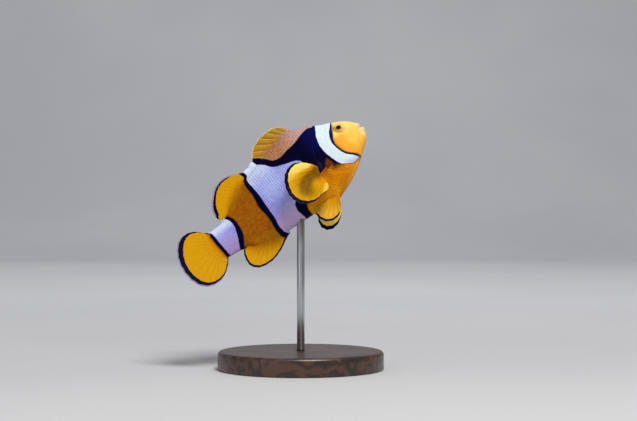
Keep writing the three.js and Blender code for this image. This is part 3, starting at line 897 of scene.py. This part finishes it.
def floor_material():
    paint = Painter("studio_floor")
    cloud = paint.ramp(paint.noise(paint.own_place(), 3), 0.3, 0.7)
    return paint.set(Base_Color=paint.blend(cloud, (196, 196, 199), (204, 204, 206)), Roughness=0.7)


# ---- the skin ----
HEAD_RINGS_END = 19.5
SKIN_SIDES = 288


def levelled(back, up):
    """A step on the flank as steps back and up with the head raised."""
    cos, sin = math.cos(HEAD_UP), math.sin(HEAD_UP)
    return cos * back + sin * up, cos * up - sin * back


def skin_stations():
    nose = turn_to_station(np.linspace(0.03, QUARTER, 52))
    head = np.linspace(NOSE_LENGTH, HEAD_RINGS_END, 120)[1:]
    trunk = np.linspace(HEAD_RINGS_END, TAIL_ROOT, 118)[1:]
    wedge = np.linspace(TAIL_ROOT, TAIL_ROOT + TAIL_WEDGE, 10)[1:]
    return np.concatenate([nose, head, trunk, wedge])


def make_skin():
    angle = np.arange(SKIN_SIDES) * TAU / SKIN_SIDES
    turn, angle = np.meshgrid(station_to_turn(skin_stations()), angle, indexing="ij")
    surface, place = body_surface(turn, angle, 0)
    points, rest = (np.vstack([at.reshape(-1, 3), at[0].mean(0), at[-1].mean(0)]) for at in (surface, place))
    skin = new_object("skin", to_world(points), tube_faces(SKIN_SIDES, len(turn), flip=True))
    white, black, patch = markings(rest)
    station, _, up = rest.T
    # painted shade where the mouth's slit and the nostrils sink in
    slit = bell(gape_offset(station, up), 0.1) * (1 - step_up(0.6, 3.2, station))
    nostril = bell(np.hypot(station - NOSTRIL_SHADE_SPOT[0], up - NOSTRIL_SHADE_SPOT[1]), 0.2)
    level, rise = levelled(station - EYE_PLACE[0], up - EYE_PLACE[2])
    gold = bell(np.hypot((level - 2) / 0.48, (rise - 0.15) / 0.85), 1) ** 0.6
    give(skin, rest=rest, white=white, black=black, patch=patch, yellow=fin_yellow_on_body(rest), gold=gold,
         hollow=np.maximum(slit, nostril))
    return skin


# ---- scales ----
PLATE_SPOKES = 12
PLATE_RINGS = 3
PLATE_PATCH = 0.0015
UNWRAP_LENGTH = 0.9
UNWRAP_GIRTH = 0.8


def plate_shape():
    """One scale on a unit square: its points as along, across and 1 for the underside, and its faces."""
    turn = np.arange(PLATE_SPOKES) * TAU / PLATE_SPOKES
    cos, sin = np.cos(turn), np.sin(turn)
    across = np.sign(sin) * np.abs(sin) ** 0.85
    along = np.where(cos > 0, cos, 0.9 * np.sign(cos) * np.abs(cos) ** 0.6)
    share = np.linspace(0, 1, PLATE_RINGS + 1)[1:, None]
    level = np.zeros(PLATE_RINGS * PLATE_SPOKES)
    top = np.stack([(share * along).ravel(), (share * across).ravel(), level], -1)
    under = np.stack([along, across, np.ones(PLATE_SPOKES)], -1)
    ring = np.arange(PLATE_SPOKES)
    fan = np.stack([np.zeros_like(ring), 1 + ring, 1 + (ring + 1) % PLATE_SPOKES], -1)
    quads = grid_quads(PLATE_SPOKES, PLATE_RINGS + 1, wrap=True, start=1)[:, ::-1]
    base = 1 + PLATE_RINGS * PLATE_SPOKES
    under_fan = np.stack([np.full(PLATE_SPOKES - 2, base), base + ring[2:], base + ring[1:-1]], -1)
    return np.vstack([[[0, 0, 0]], top, under]), fan, quads, under_fan


PLATE_POINTS, PLATE_FAN, PLATE_QUADS, PLATE_UNDER = plate_shape()


class Plates:
    """Gathers scales and joins them into one mesh."""

    def __init__(self, name, seed, marks=markings):
        self.name = name
        self.random = np.random.default_rng(seed)
        self.marks = marks
        self.parts = []

    def lay(self, surface, spots, rise):
        """Lays scales on surface(along, across, lift), which gives their points, places and yellow. Each row
        of spots is one scale: its place along and across, half length, half width and share of the rise."""
        along, across, half_length, half_width, share = (column[:, None] for column in spots.T)
        a, b, under = PLATE_POINTS.T
        tint, lean = self.random.random((2, len(spots), 1))
        height = rise * share * (0.88 + 0.24 * lean)
        dome = 0.35 * (1 - b**2) * (1 - 0.5 * a**2)
        lift = height * (0.55 + 0.5 * a + dome - 1.1 * under) - 0.006 - 0.014 * share
        points, rest, yellow = surface(along + half_length * a, across + half_width * b, lift)
        plate = np.stack(np.broadcast_arrays(tint, b, a), -1)
        spread = PLATE_PATCH * np.stack(np.broadcast_arrays(a, b), -1)
        self.parts.append((points, rest, yellow, plate, unwrap_spot(rest[:, 0])[:, None] + spread))

    def join(self, material):
        points, rest, yellow, plate, spots = (np.concatenate(column) for column in zip(*self.parts))
        count = len(points)
        first = (np.arange(count) * len(PLATE_POINTS))[:, None, None]
        fans = np.vstack([(PLATE_FAN + first).reshape(-1, 3), (PLATE_UNDER + first).reshape(-1, 3)])
        quads = (PLATE_QUADS + first).reshape(-1, 4)
        rounded_top = np.arange(len(PLATE_QUADS)) < len(PLATE_QUADS) - PLATE_SPOKES
        rounded_faces = np.concatenate([
            np.tile(rounded_top, count), np.ones(count * PLATE_SPOKES, bool),
            np.zeros(count * len(PLATE_UNDER), bool),
        ])
        made = new_object(self.name, to_world(points.reshape(-1, 3)), [quads, fans], rounded_faces)
        rest = rest.reshape(-1, 3)
        white, black, patch = self.marks(rest)
        give(made, rest=rest, white=white, black=black, patch=patch, yellow=yellow.ravel(),
             plate=plate.reshape(-1, 3))
        give_unwrap(made, spots.reshape(-1, 2))
        made.data.materials.append(material)
        return made


class Girth:
    """Turns a share of the way round the body, by length from the belly line, into the body's own angle."""

    def __init__(self):
        self.stations = np.linspace(5, TAIL_ROOT + TAIL_WEDGE, 240)
        angle = np.linspace(-QUARTER, 3 * QUARTER, 721)
        turn, around = np.meshgrid(station_to_turn(self.stations), angle, indexing="ij")
        walk = np.linalg.norm(np.diff(body_place(turn, around), axis=1), axis=-1)
        length = np.concatenate([np.zeros((len(turn), 1)), np.cumsum(walk, 1)], 1)
        self.shares = np.linspace(0, 1, 481)
        self.angles = np.stack([np.interp(self.shares, row / row[-1], angle) for row in length])

    def angle(self, station, share):
        row = (station - self.stations[0]) / (self.stations[1] - self.stations[0])
        row = np.clip(row, 0, len(self.stations) - 1.001)
        column = np.clip(share % 1 * (len(self.shares) - 1), 0, len(self.shares) - 1.001)
        r, c = row.astype(int), column.astype(int)
        near = mix(self.angles[r, c], self.angles[r, c + 1], column - c)
        far = mix(self.angles[r + 1, c], self.angles[r + 1, c + 1], column - c)
        return mix(near, far, row - r)


girth = Girth()
# Each stretch of scales: first and last station, spacing along, scales round the body, rise of the free edge.
SCALE_STRETCHES = [
    ("nape", 6.2, 14.75, 0.57, 84, 0.026),
    ("shoulder", 14.9, 27.5, 0.79, 62, 0.028),
    ("flank", 28.3, 41.5, 0.82, 62, 0.021),
    ("rear", 42, 52.4, 0.80, 48, 0.034),
    ("tail", 53, 61.6, 0.72, 36, 0.03),
]
# Each fin base with scales: rows on each side, and the share of the base ahead of the first one.
SHEATHS = {
    "dorsal_fin_spiny": (3, 0.1), "dorsal_fin_soft": (6, 0.12),
    "anal_fin": (5, 0.15), "caudal_fin": (8, 0.015),
}
SHEATH_SPACING = 0.56
SHEATH_RISE = 0.034
SHEATH_SEED = 11


def unwrap_spot(rest):
    """A place's spot on the skin's unwrap: its station, and how far round the body it is."""
    station, left, up = np.moveaxis(rest, -1, 0)
    level = (up - belly_at(station)) / (back_at(station) - belly_at(station))
    share = np.where(left > 0, 0.5 * level, 1 - 0.5 * level)
    along = 0.02 + UNWRAP_LENGTH * station / (TAIL_ROOT + TAIL_WEDGE)
    return np.stack([along, (1 - UNWRAP_GIRTH) / 2 + UNWRAP_GIRTH * share], -1)


def scale_share(station, left, up):
    """How much of its height a scale has: none on the snout, jaw and throat, round the eyes, along the gill
    cover's edge and on the fin roots; it grows over a few scales from there."""
    front = 6.4 + 1.8 * step_up(0, -5, up) - 0.8 * step_up(6, 10, up)
    gill, ahead = rim_distance(GILL_RIM, station, up)
    cheek, _ = rim_distance(CHEEK_RIM, station, up)
    on_rim = (ahead > 0.1) & (gill > -0.5) & (gill < 0.75)
    on_cheek = (station > 6.8) & (up < 3.2) & (np.abs(cheek) < 0.26)
    on_root = root_distance(station, up) < 1.25
    away = np.hypot(station - EYE_PLACE[0], up - EYE_PLACE[2] - 0.2)
    share = step_up(front, front + 3, station) * step_up(2.7, 4, away)
    return np.where(on_rim | on_cheek | on_root, 0, share)


def fin_yellow_on_body(place):
    """How much of the fins' yellow the body has by the bases of its rear fins."""
    station, _, up = np.moveaxis(place, -1, 0)
    rear = step_up(41, 44, station) * (1 - step_up(50.5, 53.5, station))
    gap = np.minimum(back_at(station) - up, up - belly_at(station))
    return 0.3 * rear * (1 - step_up(0, 3.5, gap))


def scaled_surface(along, across, lift):
    points, rest = body_surface(station_to_turn(along), girth.angle(along, across), lift)
    return points, rest, fin_yellow_on_body(rest)


def make_body_scales(material):
    for seed, (name, start, end, spacing, around, rise) in enumerate(SCALE_STRETCHES, 1):
        rows = round((end - start) / spacing) + 1
        station, share = np.meshgrid(np.linspace(start, end, rows), np.arange(around) / around, indexing="ij")
        share = share + (np.arange(rows)[:, None] % 2) * 0.5 / around
        place = body_place(station_to_turn(station), girth.angle(station, share))
        height = scale_share(*np.moveaxis(place, -1, 0))
        keep = height > 0.05
        size = mix(0.8, 1, height[keep])
        spots = np.stack([station[keep], share[keep], spacing * size, 0.64 / around * size, height[keep]], -1)
        plates = Plates("scales_" + name, seed)
        plates.lay(scaled_surface, spots, rise)
        yield plates.join(material)


def make_sheath_scales(fins, material):
    """Scales that shrink outwards over the bases of the fins on the middle line, on both sides."""
    plates = Plates("scales_fin_bases", SHEATH_SEED, marks_on_fin)
    for name, (rows, first) in SHEATHS.items():
        fin = fins[name]
        along_root = fin.shape(np.linspace(0, 1, 60), np.full(60, 0.2))
        columns = int(np.linalg.norm(np.diff(along_root, axis=0), axis=-1).sum() / SHEATH_SPACING)
        for row, side in ((row, side) for row in range(rows) for side in (RIGHT, LEFT)):
            size = 1 - 0.5 * row / rows
            w = (np.arange(columns) + 0.25 + 0.5 * (row % 2)) / columns
            reach = 0.1 + 0.8 * SHEATH_SPACING * row * (1 - 0.2 * row / rows)
            w = w[(reach < 0.6 * (fin.length(w) - fin.sink)) & (w > first) & (w < 0.985)]
            length = fin.length(w)
            half_width, share = -side * 0.62 * size / columns, size
            spots = np.stack(np.broadcast_arrays(
                (reach + fin.sink) / length, w, SHEATH_SPACING * size / length, half_width, share,
            ), -1)
            plates.lay(lambda r, w, lift: fin.scaled_side(r, w, side, lift), spots, SHEATH_RISE)
    return plates.join(material)


# ---- fins ----
def edge_through(points):
    knots = np.linspace(0, 1, len(points))
    station, height = (smooth(np.stack([knots, row], -1)) for row in np.array(points).T)
    return lambda w: (station(w), height(w))


def edge_of_lobe(lobe, turn, swell):
    station, height, length, rise = lobe

    def edge(w):
        degrees = mix(*turn, w)
        along, over = np.cos(np.radians(degrees)), np.sin(np.radians(degrees))
        return station + (length + swell(degrees)) * along, height + (rise + swell(degrees)) * over
    return edge


def root_on(line, ends, sink, rake=1):
    """A fin's root along a line of the body. A rake over 1 gathers the rays forward, to lean back."""
    return lambda w: (mix(*ends, w**rake), line(mix(*ends, w**rake)) + sink)


def median_place(root, edge):
    def place(w, r):
        root_station, root_shadow_height = root(w)
        edge_station, edge_height = edge(w)
        station = mix(root_station, edge_station, r)
        return np.stack([station, np.zeros_like(station), mix(root_shadow_height, edge_height, r)], -1)
    return place


def paired_place(fin, side, trail=0, fold=0):
    """A paired fin's middle surface: an oval lobe with its swell. The fold draws its middle rays in and lets
    the outer ones stand out."""
    along, across = np.array(fin["along"], float), np.array(fin["across"], float)
    hollow = np.cross(along, across)
    hollow /= np.linalg.norm(hollow)

    def place(w, r):
        w, r = np.broadcast_arrays(np.asarray(w, float)[..., None], np.asarray(r, float)[..., None])
        degrees = mix(*fin["turn"], w)
        angle = np.radians(degrees)
        lobe = (along * np.cos(angle) + across * np.sin(angle)) * (1 + fin["swell"](degrees))
        edge = np.array(fin["centre"]) + lobe + np.array([trail, 0, 0])
        root = mix(np.array(fin["root_top"]), np.array(fin["root_bottom"]), w)
        cup = fin["cup"] * np.sin(math.pi * r) * np.sin(math.pi * w)
        cup = cup + fold * np.sin(math.pi * np.minimum(r, 0.85) * 0.62) * np.cos(TAU * (1.35 * w - 0.16))
        return (mix(root, edge, r) + hollow * cup) * np.array([1, -side, 1])
    return place


class Fin:
    """A fin about its middle surface shape(w, r): w runs over its rays from 0 to 1, r from root to edge."""

    def __init__(self, kind, shape, sink=ROOT_DEPTH, root_yellow=0, yellow_from=0.45, fillet=0.75):
        self.kind = FIN_KINDS[kind]
        self.shape = shape
        self.sink = sink
        self.root_yellow = root_yellow
        self.yellow_from = yellow_from
        self.fillet = fillet

    def length(self, w):
        return np.linalg.norm(self.shape(w, np.ones_like(w)) - self.shape(w, np.zeros_like(w)), axis=-1)

    def width(self, w, r):
        """How wide the whole fan would be at this reach, with rays as far apart as here."""
        return np.linalg.norm(self.shape(w + 1e-3, r) - self.shape(w - 1e-3, r), axis=-1) / 2e-3

    def reach(self, w, r):
        return np.maximum(r * self.length(w) - self.sink, 0)

    def reach_share(self, w, r):
        return self.reach(w, r) / np.maximum(self.length(w) - self.sink, 0.1)

    def yellow(self, w, r):
        return mix(self.root_yellow, 1, step_up(-0.05, self.yellow_from, self.reach_share(w, r)))

    def ridge(self, w, r):
        """1 on a ray and 0 between rays; soft rays split in two, and again towards the edge."""
        rays, branching = self.kind["rays"], self.kind["branching"]
        gap = np.abs(np.abs((w * rays) % 1 - 0.5) - 0.24 * branching * step_up(0.3, 1, r))
        gap = np.abs(gap - 0.11 * branching * step_up(0.62, 1, r))
        thickness = np.maximum(0.9 * mix(0.16, 0.085, branching * r), 0.06)
        return bell(gap * self.width(w, r) / rays, thickness)

    def flat(self, w, r):
        between = 0.5 + 0.5 * np.cos(TAU * w * self.kind["rays"])
        return bent(self.shape(w, r * (1 - self.kind["scallop"] * between * r**3)))

    def middle(self, w, r):
        wave = np.sin(TAU * w * self.kind["rays"]) * step_up(0.1, 0.6, r)
        sway = 1.6 * np.sin(TAU * (1.7 * w + 0.2)) * r**2
        ripple = self.kind["ripple"] * (wave + sway)
        return self.flat(w, r) + normals_of(self.flat, w, r) * ripple[..., None]

    def half(self, w, r):
        """Half the fin's thickness: rays on a membrane that thins to the edge, and a fillet at the root."""
        edge_gap = (1 - r) * self.length(w)
        side_gap = np.minimum(w, 1 - w) * self.width(w, r)
        half = MEMBRANE * mix(1, 0.6, r) + self.kind["ray"] * self.ridge(w, r) * mix(1, 0.45, r)
        out = r * self.length(w) - self.sink
        flare = self.fillet * np.exp(-np.maximum(out, -0.5)) * step_up(-1.1, -0.3, out)
        half = half * mix(0.35, 1, step_up(0, 0.5, edge_gap)) + flare
        return half * mix(0.5, 1, step_up(0, 0.35, side_gap))

    def side(self, w, r, side, lift=0):
        """The skin on one side of the fin, or a place lift millimetres over it."""
        out = normals_of(self.middle, w, r) * side
        return self.middle(w, r) + out * (self.half(w, r) + lift)[..., None]

    def scaled_side(self, r, w, side, lift):
        rest = self.shape(w, r) + np.array([0, 0.01 * side, 0])
        return self.side(w, r, side, lift), rest, self.yellow(w, r)


def make_fin(name, fin, material, band, sides=(-1, -1), sides_from=0.7, hem=0.1, hem_end=0.76,
             marked=True, spiny=0, tone=0, painted_light=None):
    """One fin's mesh. band(w) is the width of the black along its edge, sides that along its first and last
    ray from sides_from millimetres out, and hem that of the pale outermost line, which fades from hem_end on.
    The body's markings run on over the fin if it is marked."""
    columns, rows = fin.kind["columns"], fin.kind["rows"]
    w, r = np.meshgrid(np.linspace(0.002, 0.998, columns), np.linspace(0, 1, rows) ** 0.92, indexing="ij")
    points = np.vstack([fin.side(w, r, side).reshape(-1, 3) for side in (LEFT, RIGHT)])
    made = new_object(name, to_world(points), sheet_faces(columns, rows))
    rest = fin.shape(w, r)
    white, black, patch = marks_on_fin(rest)
    if not marked:
        white, black = np.full_like(w, UNMARKED), np.full_like(w, UNMARKED)
    edge_gap = (1 - r) * fin.length(w)
    out_on_fin = np.minimum(fin.reach(w, r) - sides_from, 2)
    hem = hem * step_up(0, 0.1, w) * (1 - step_up(hem_end, hem_end + 0.14, w))
    black = np.maximum.reduce([
        black,
        within(band(w) - (edge_gap - hem), edge_gap - hem + 0.2),
        within(sides[0] - w * fin.width(w, r), out_on_fin),
        within(sides[1] - (1 - w) * fin.width(w, r), out_on_fin),
    ])
    fields = dict(
        rest=rest, white=white, black=black, patch=patch,
        weave=np.stack([w, fin.ridge(w, r), fin.reach_share(w, r)], -1), reach_mm=r * fin.length(w),
        hem=np.clip((hem - edge_gap) * 6, -3, 3), yellow=fin.yellow(w, r), spiny=spiny + 0 * w,
        tone=tone + 0 * w, painted_light=painted_light(w, r) if painted_light else 0 * w,
    )
    size = columns * rows
    for key, values in fields.items():
        give(made, **{key: np.concatenate([values.reshape(size, -1).squeeze()] * 2)})
    unwrap = np.stack([0.01 + 0.98 * w, 0.01 + 0.47 * r], -1).reshape(-1, 2)
    give_unwrap(made, np.vstack([unwrap, unwrap + [0, 0.5]]))
    made.data.materials.append(material)
    return made


def fold_light(w, r):
    """Painted light and shade on a pectoral fin: a painted highlight on the pale bulge, above 0, and painted
    shade in the dark hollow and in the corner by the root, below 0.
    """
    bulge = step_up(0.15, 0.45, r) * (bell(w - 0.18, 0.16) + 0.6 * step_up(0.72, 0.9, w))
    hollow = bell(w - 0.26 - 0.42 * r, 0.16) * (1 - step_up(0.55, 1, r))
    corner = bell(w - 0.3, 0.3) * (1 - step_up(0.14, 0.4, r))
    return bulge * (1 - hollow) - 1.2 * np.maximum(hollow, corner)


def shape_fins():
    """Every fin by the name of its CAD node."""
    spiny = median_place(root_on(back_at, SPINY_ROOT, -ROOT_DEPTH, SPINY_RAKE), edge_through(SPINY_EDGE))
    soft = median_place(root_on(back_at, SOFT_ROOT, -ROOT_DEPTH), edge_through(SOFT_EDGE))
    anal = median_place(root_on(belly_at, ANAL_ROOT, ROOT_DEPTH), edge_through(ANAL_EDGE))
    tail_root = root_on(lambda station: 0, (TAIL_ROOT, TAIL_ROOT), 0)
    tail = median_place(lambda w: (tail_root(w)[0], mix(*TAIL_FIN_ROOT, w)),
                        edge_of_lobe(TAIL_FIN_LOBE, TAIL_FIN_TURN, tail_fin_swell))
    pairs = {
        "pectoral_fin_right": paired_place(PECTORAL, RIGHT, fold=PECTORAL_FOLD),
        "pectoral_fin_left": paired_place(LEFT_PECTORAL, LEFT, fold=PECTORAL_FOLD),
        "pelvic_fin_right": paired_place(PELVIC, RIGHT),
        "pelvic_fin_left": paired_place(LEFT_PELVIC, LEFT, LEFT_PELVIC_TRAIL),
    }
    return {
        "dorsal_fin_spiny": Fin("dorsal_fin_spiny", spiny),
        "dorsal_fin_soft": Fin("dorsal_fin_soft", soft, root_yellow=0.3),
        "anal_fin": Fin("anal_fin", anal, root_yellow=0.2, yellow_from=0.75),
        "caudal_fin": Fin("caudal_fin", tail, root_yellow=0.6, fillet=0.3),
        **{name: Fin(name.rsplit("_", 1)[0], place, sink=0.6, fillet=0.4) for name, place in pairs.items()},
    }


def make_fins(fins, material):
    """The fins' meshes, each with its black edge."""
    def pelvic_band(w):
        return 0.85 * step_up(0.02, 0.2, w) * (1 - 1.3 * step_up(0.72, 0.9, w))

    paired = dict(hem=0.02, marked=False)
    # painted light and painted shade on both pectoral fins, from fold_light
    pectoral = dict(paired, band=pectoral_band, sides=(0.8, -1), sides_from=2.6, painted_light=fold_light)
    pelvic = dict(paired, sides=(0, 0))
    looks = {
        "dorsal_fin_spiny": dict(band=lambda w: -1 + 0 * w, hem=0.3, hem_end=0.7, spiny=1),
        "dorsal_fin_soft": dict(band=soft_band, hem=0.6, tone=1),
        "anal_fin": dict(band=lambda w: 0.72 + 0 * w, sides=(0.6, 0.4), hem=0.12, tone=1),
        "caudal_fin": dict(band=tail_fin_band, sides=(-1, 0.7), hem=0.42, tone=0.5),
        "pectoral_fin_right": pectoral,
        # painted light: the right pelvic fin a little lighter outwards
        "pelvic_fin_right": dict(pelvic, band=pelvic_band, painted_light=lambda w, r: 0.25 * step_up(0.2, 0.7, r)),
        "pectoral_fin_left": pectoral,
        # painted light: the left pelvic fin, which lies in shade, lighter all over
        "pelvic_fin_left": dict(pelvic, band=left_pelvic_band, painted_light=lambda w, r: 0.9 + 0 * w),
    }
    return {name: make_fin(name + "_skin", fins[name], material, **look) for name, look in looks.items()}


# ---- eyes ----
def make_eye(name, side, material):
    middle, gaze = eye_frame(side)
    ahead = np.cross([0, 0, 1], gaze)
    ahead *= np.sign(ahead[0]) / np.linalg.norm(ahead)
    up = np.cross(ahead, gaze) * side
    rings, spokes = 56, 96
    lean, turn = np.meshgrid(np.linspace(0.02, 2.2, rings), np.arange(spokes) * TAU / spokes, indexing="ij")
    radius = EYE_RADIUS + CORNEA_RISE * bell(lean, 0.42)
    ring = EYE_RADIUS * np.sin(np.minimum(lean, QUARTER))
    across = np.cos(turn)[..., None] * ahead + np.sin(turn)[..., None] * up
    direction = np.cos(lean)[..., None] * gaze + np.sin(lean)[..., None] * across
    ball = (radius[..., None] * direction).reshape(-1, 3)
    ball = np.vstack([ball, (EYE_RADIUS + CORNEA_RISE) * gaze, -0.6 * EYE_RADIUS * gaze])
    eye = new_object(name, to_world(middle + ball), tube_faces(spokes, rings, flip=side == RIGHT))
    # The pupil is an oval, level once the head is raised, with a small point under it.
    level, rise = levelled(-ring * np.cos(turn), ring * np.sin(turn))
    oval = 0.84 - np.hypot((level - 0.12) * 0.88, rise * 1.22)
    point = 0.14 - np.hypot(level - 0.28, 0.5 * (rise + 0.72))
    streak = bell(np.hypot((level - 0.3) / 0.16, (rise + 1.1) / 0.32), 1)
    iris = np.stack([np.sin(turn), ring, -np.cos(turn)], -1).reshape(-1, 3)
    # Each field ends with its values at the middle of the pupil and at the back of the ball.
    give(eye, iris=np.vstack([iris, [0, 0, 0], [0, EYE_RADIUS, 0]]), rest=ball,
         pupil=np.append(np.maximum(oval, point), [0.86, -2]), streak=np.append(streak, [0, 0]))
    eye.data.materials.append(material)
    return eye


# ---- the stand ----
BASE_RADIUS = 27
BASE_HEIGHT = 6
BASE_EDGE = 1.2
FOOT_EDGE = 0.4
ROD_RADIUS = 1.25
ROD_EDGE = 0.15
ROD_HOLD = 2.5
ROD_HOLE = 0.3


def turned(name, profile, material, sides=192):
    """A piece turned about the upright axis from [radius, height] pairs that start and end on the axis."""
    profile = np.array(profile, float)
    angle = np.arange(sides) * TAU / sides
    radius, height = profile[1:-1, :1], profile[1:-1, 1:]
    rings = np.stack([radius * np.cos(angle), radius * np.sin(angle), height + 0 * angle], -1).reshape(-1, 3)
    points = np.vstack([rings, [0, 0, profile[0, 1]], [0, 0, profile[-1, 1]]])
    made = new_object(name, points * MM, tube_faces(sides, len(radius)))
    made.data.materials.append(material)
    return made


def rounded(corner_radius, corner_height, size, start, end, steps=8):
    turns = np.radians(np.linspace(start, end, steps))
    return [[corner_radius + size * math.cos(t), corner_height + size * math.sin(t)] for t in turns]


def make_base():
    rim = BASE_RADIUS - BASE_EDGE
    hole = ROD_RADIUS + ROD_HOLE
    floor = BASE_HEIGHT - ROD_HOLD - 0.2
    return turned("stand_base_turned", [
        [0, 0], [BASE_RADIUS - 3 * FOOT_EDGE, 0], [BASE_RADIUS - FOOT_EDGE - 0.02, 0],
        *rounded(BASE_RADIUS - FOOT_EDGE, FOOT_EDGE, FOOT_EDGE, -88, 0, 5),
        [BASE_RADIUS, 0.5 * BASE_HEIGHT],
        *rounded(rim, BASE_HEIGHT - BASE_EDGE, BASE_EDGE, 2, 90),
        [rim - 1, BASE_HEIGHT], [hole + 0.6, BASE_HEIGHT], [hole + 0.12, BASE_HEIGHT],
        [hole, BASE_HEIGHT - 0.12], [hole, floor], [0, floor],
    ], wood_material())


def make_rod():
    low, high = BASE_HEIGHT - ROD_HOLD, BELLY_HEIGHT + ROD_HOLD
    return turned("stand_rod_turned", [
        [0, low], [ROD_RADIUS - ROD_EDGE, low], [ROD_RADIUS, low + ROD_EDGE], [ROD_RADIUS, (low + high) / 2],
        [ROD_RADIUS, high - ROD_EDGE], [ROD_RADIUS - ROD_EDGE, high], [0, high],
    ], steel_material(), 64)


# ---- the studio: the camera's place is in millimetres, the rest in metres ----
CAMERA_PLACE = (5.77, -489.3, 51.6)
CAMERA_LENS = 85
CAMERA_SENSOR = 36
NEAREST_SEEN = 0.01
SKY_COLOUR = (0.9, 0.93, 1, 1)
SKY_STRENGTH = 0.3
FLOOR_REACH = 3
WALL_DISTANCE = 1.1
WALL_HEIGHT = 1.8
SWEEP_RADIUS = 0.7
FISH_AIM = (0, 0, 0.05)
WALL_AIM = (0, 1.6, 0.3)


def make_floor():
    """A floor that sweeps up into a wall behind the model."""
    turns = np.linspace(0, QUARTER, 24)
    back = [-FLOOR_REACH, 0, *(WALL_DISTANCE + SWEEP_RADIUS * np.sin(turns)), WALL_DISTANCE + SWEEP_RADIUS]
    rise = [0, 0, *(SWEEP_RADIUS * (1 - np.cos(turns))), WALL_HEIGHT]
    columns = np.linspace(-FLOOR_REACH, FLOOR_REACH, 3)
    points = np.array([[x, y, z] for y, z in zip(back, rise) for x in columns])
    floor = new_object("floor", points, [grid_quads(len(columns), len(back))])
    floor.data.materials.append(floor_material())
    floor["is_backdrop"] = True


def add_light(name, place, size, power, colour, aim):
    light = bpy.data.lights.new(name, "AREA")
    light.size = size
    light.energy = power
    light.color = colour
    made = into_scene(name, light)
    made.location = place
    x, y, z = np.array(place) - np.array(aim)
    made.rotation_euler = (math.atan2(math.hypot(x, y), z), 0, math.atan2(x, -y))


def make_studio():
    make_floor()
    camera = bpy.data.cameras.new("camera")
    camera.lens = CAMERA_LENS
    camera.sensor_width = CAMERA_SENSOR
    camera.clip_start = NEAREST_SEEN
    made = into_scene("camera", camera)
    made.location = np.array(CAMERA_PLACE) * MM
    made.rotation_euler = (QUARTER, 0, 0)
    scene = bpy.context.scene
    bpy.context.scene.camera = made
    add_light("key", (0.16, -0.4, 0.74), 0.32, 6.6, (1, 0.98, 0.94), FISH_AIM)
    add_light("fill", (-0.6, -0.6, 0.15), 0.6, 0.9, (0.86, 0.9, 1), FISH_AIM)
    add_light("wall", (0, 0.45, 0.9), 0.8, 6, (0.96, 0.97, 1), WALL_AIM)
    scene.world = bpy.data.worlds.new("studio")
    scene.world.use_nodes = True
    sky = scene.world.node_tree.nodes["Background"].inputs
    sky["Color"].default_value = SKY_COLOUR
    sky["Strength"].default_value = SKY_STRENGTH
    scene.view_settings.view_transform = "Standard"


# ---- assembly ----
SKIN_NODES = ("head", "lower_jaw", "gill_cover_right", "gill_cover_left", "trunk", "tail")


def settle(piece, slot, *nodes):
    """The piece rides on the fish's one body and stands for the CAD nodes named, which it hides. The slot
    argument is not used.
    """
    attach(piece, "root")
    if nodes:
        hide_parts(*nodes)


make_studio()
skin = make_skin()
skin.data.materials.append(skin_material())
settle(skin, "skin", *SKIN_NODES)
scales = scale_material()
fins = shape_fins()
for piece in (*make_body_scales(scales), make_sheath_scales(fins, scales)):
    settle(piece, "skin")
for node, piece in make_fins(fins, fin_material()).items():
    settle(piece, "fins", node)
eye_look = eye_material()
settle(make_eye("eye_ball_right", RIGHT, eye_look), "eyes", "eye_right")
settle(make_eye("eye_ball_left", LEFT, eye_look), "eyes", "eye_left")
settle(make_base(), "base_wood", "stand_base")
settle(make_rod(), "rod_steel", "stand_rod")

rows = {"cad": cad_bounds, "visual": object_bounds()}
{name: [[float(n) for n in corner] for corner in box] for name, box in rows.items()}
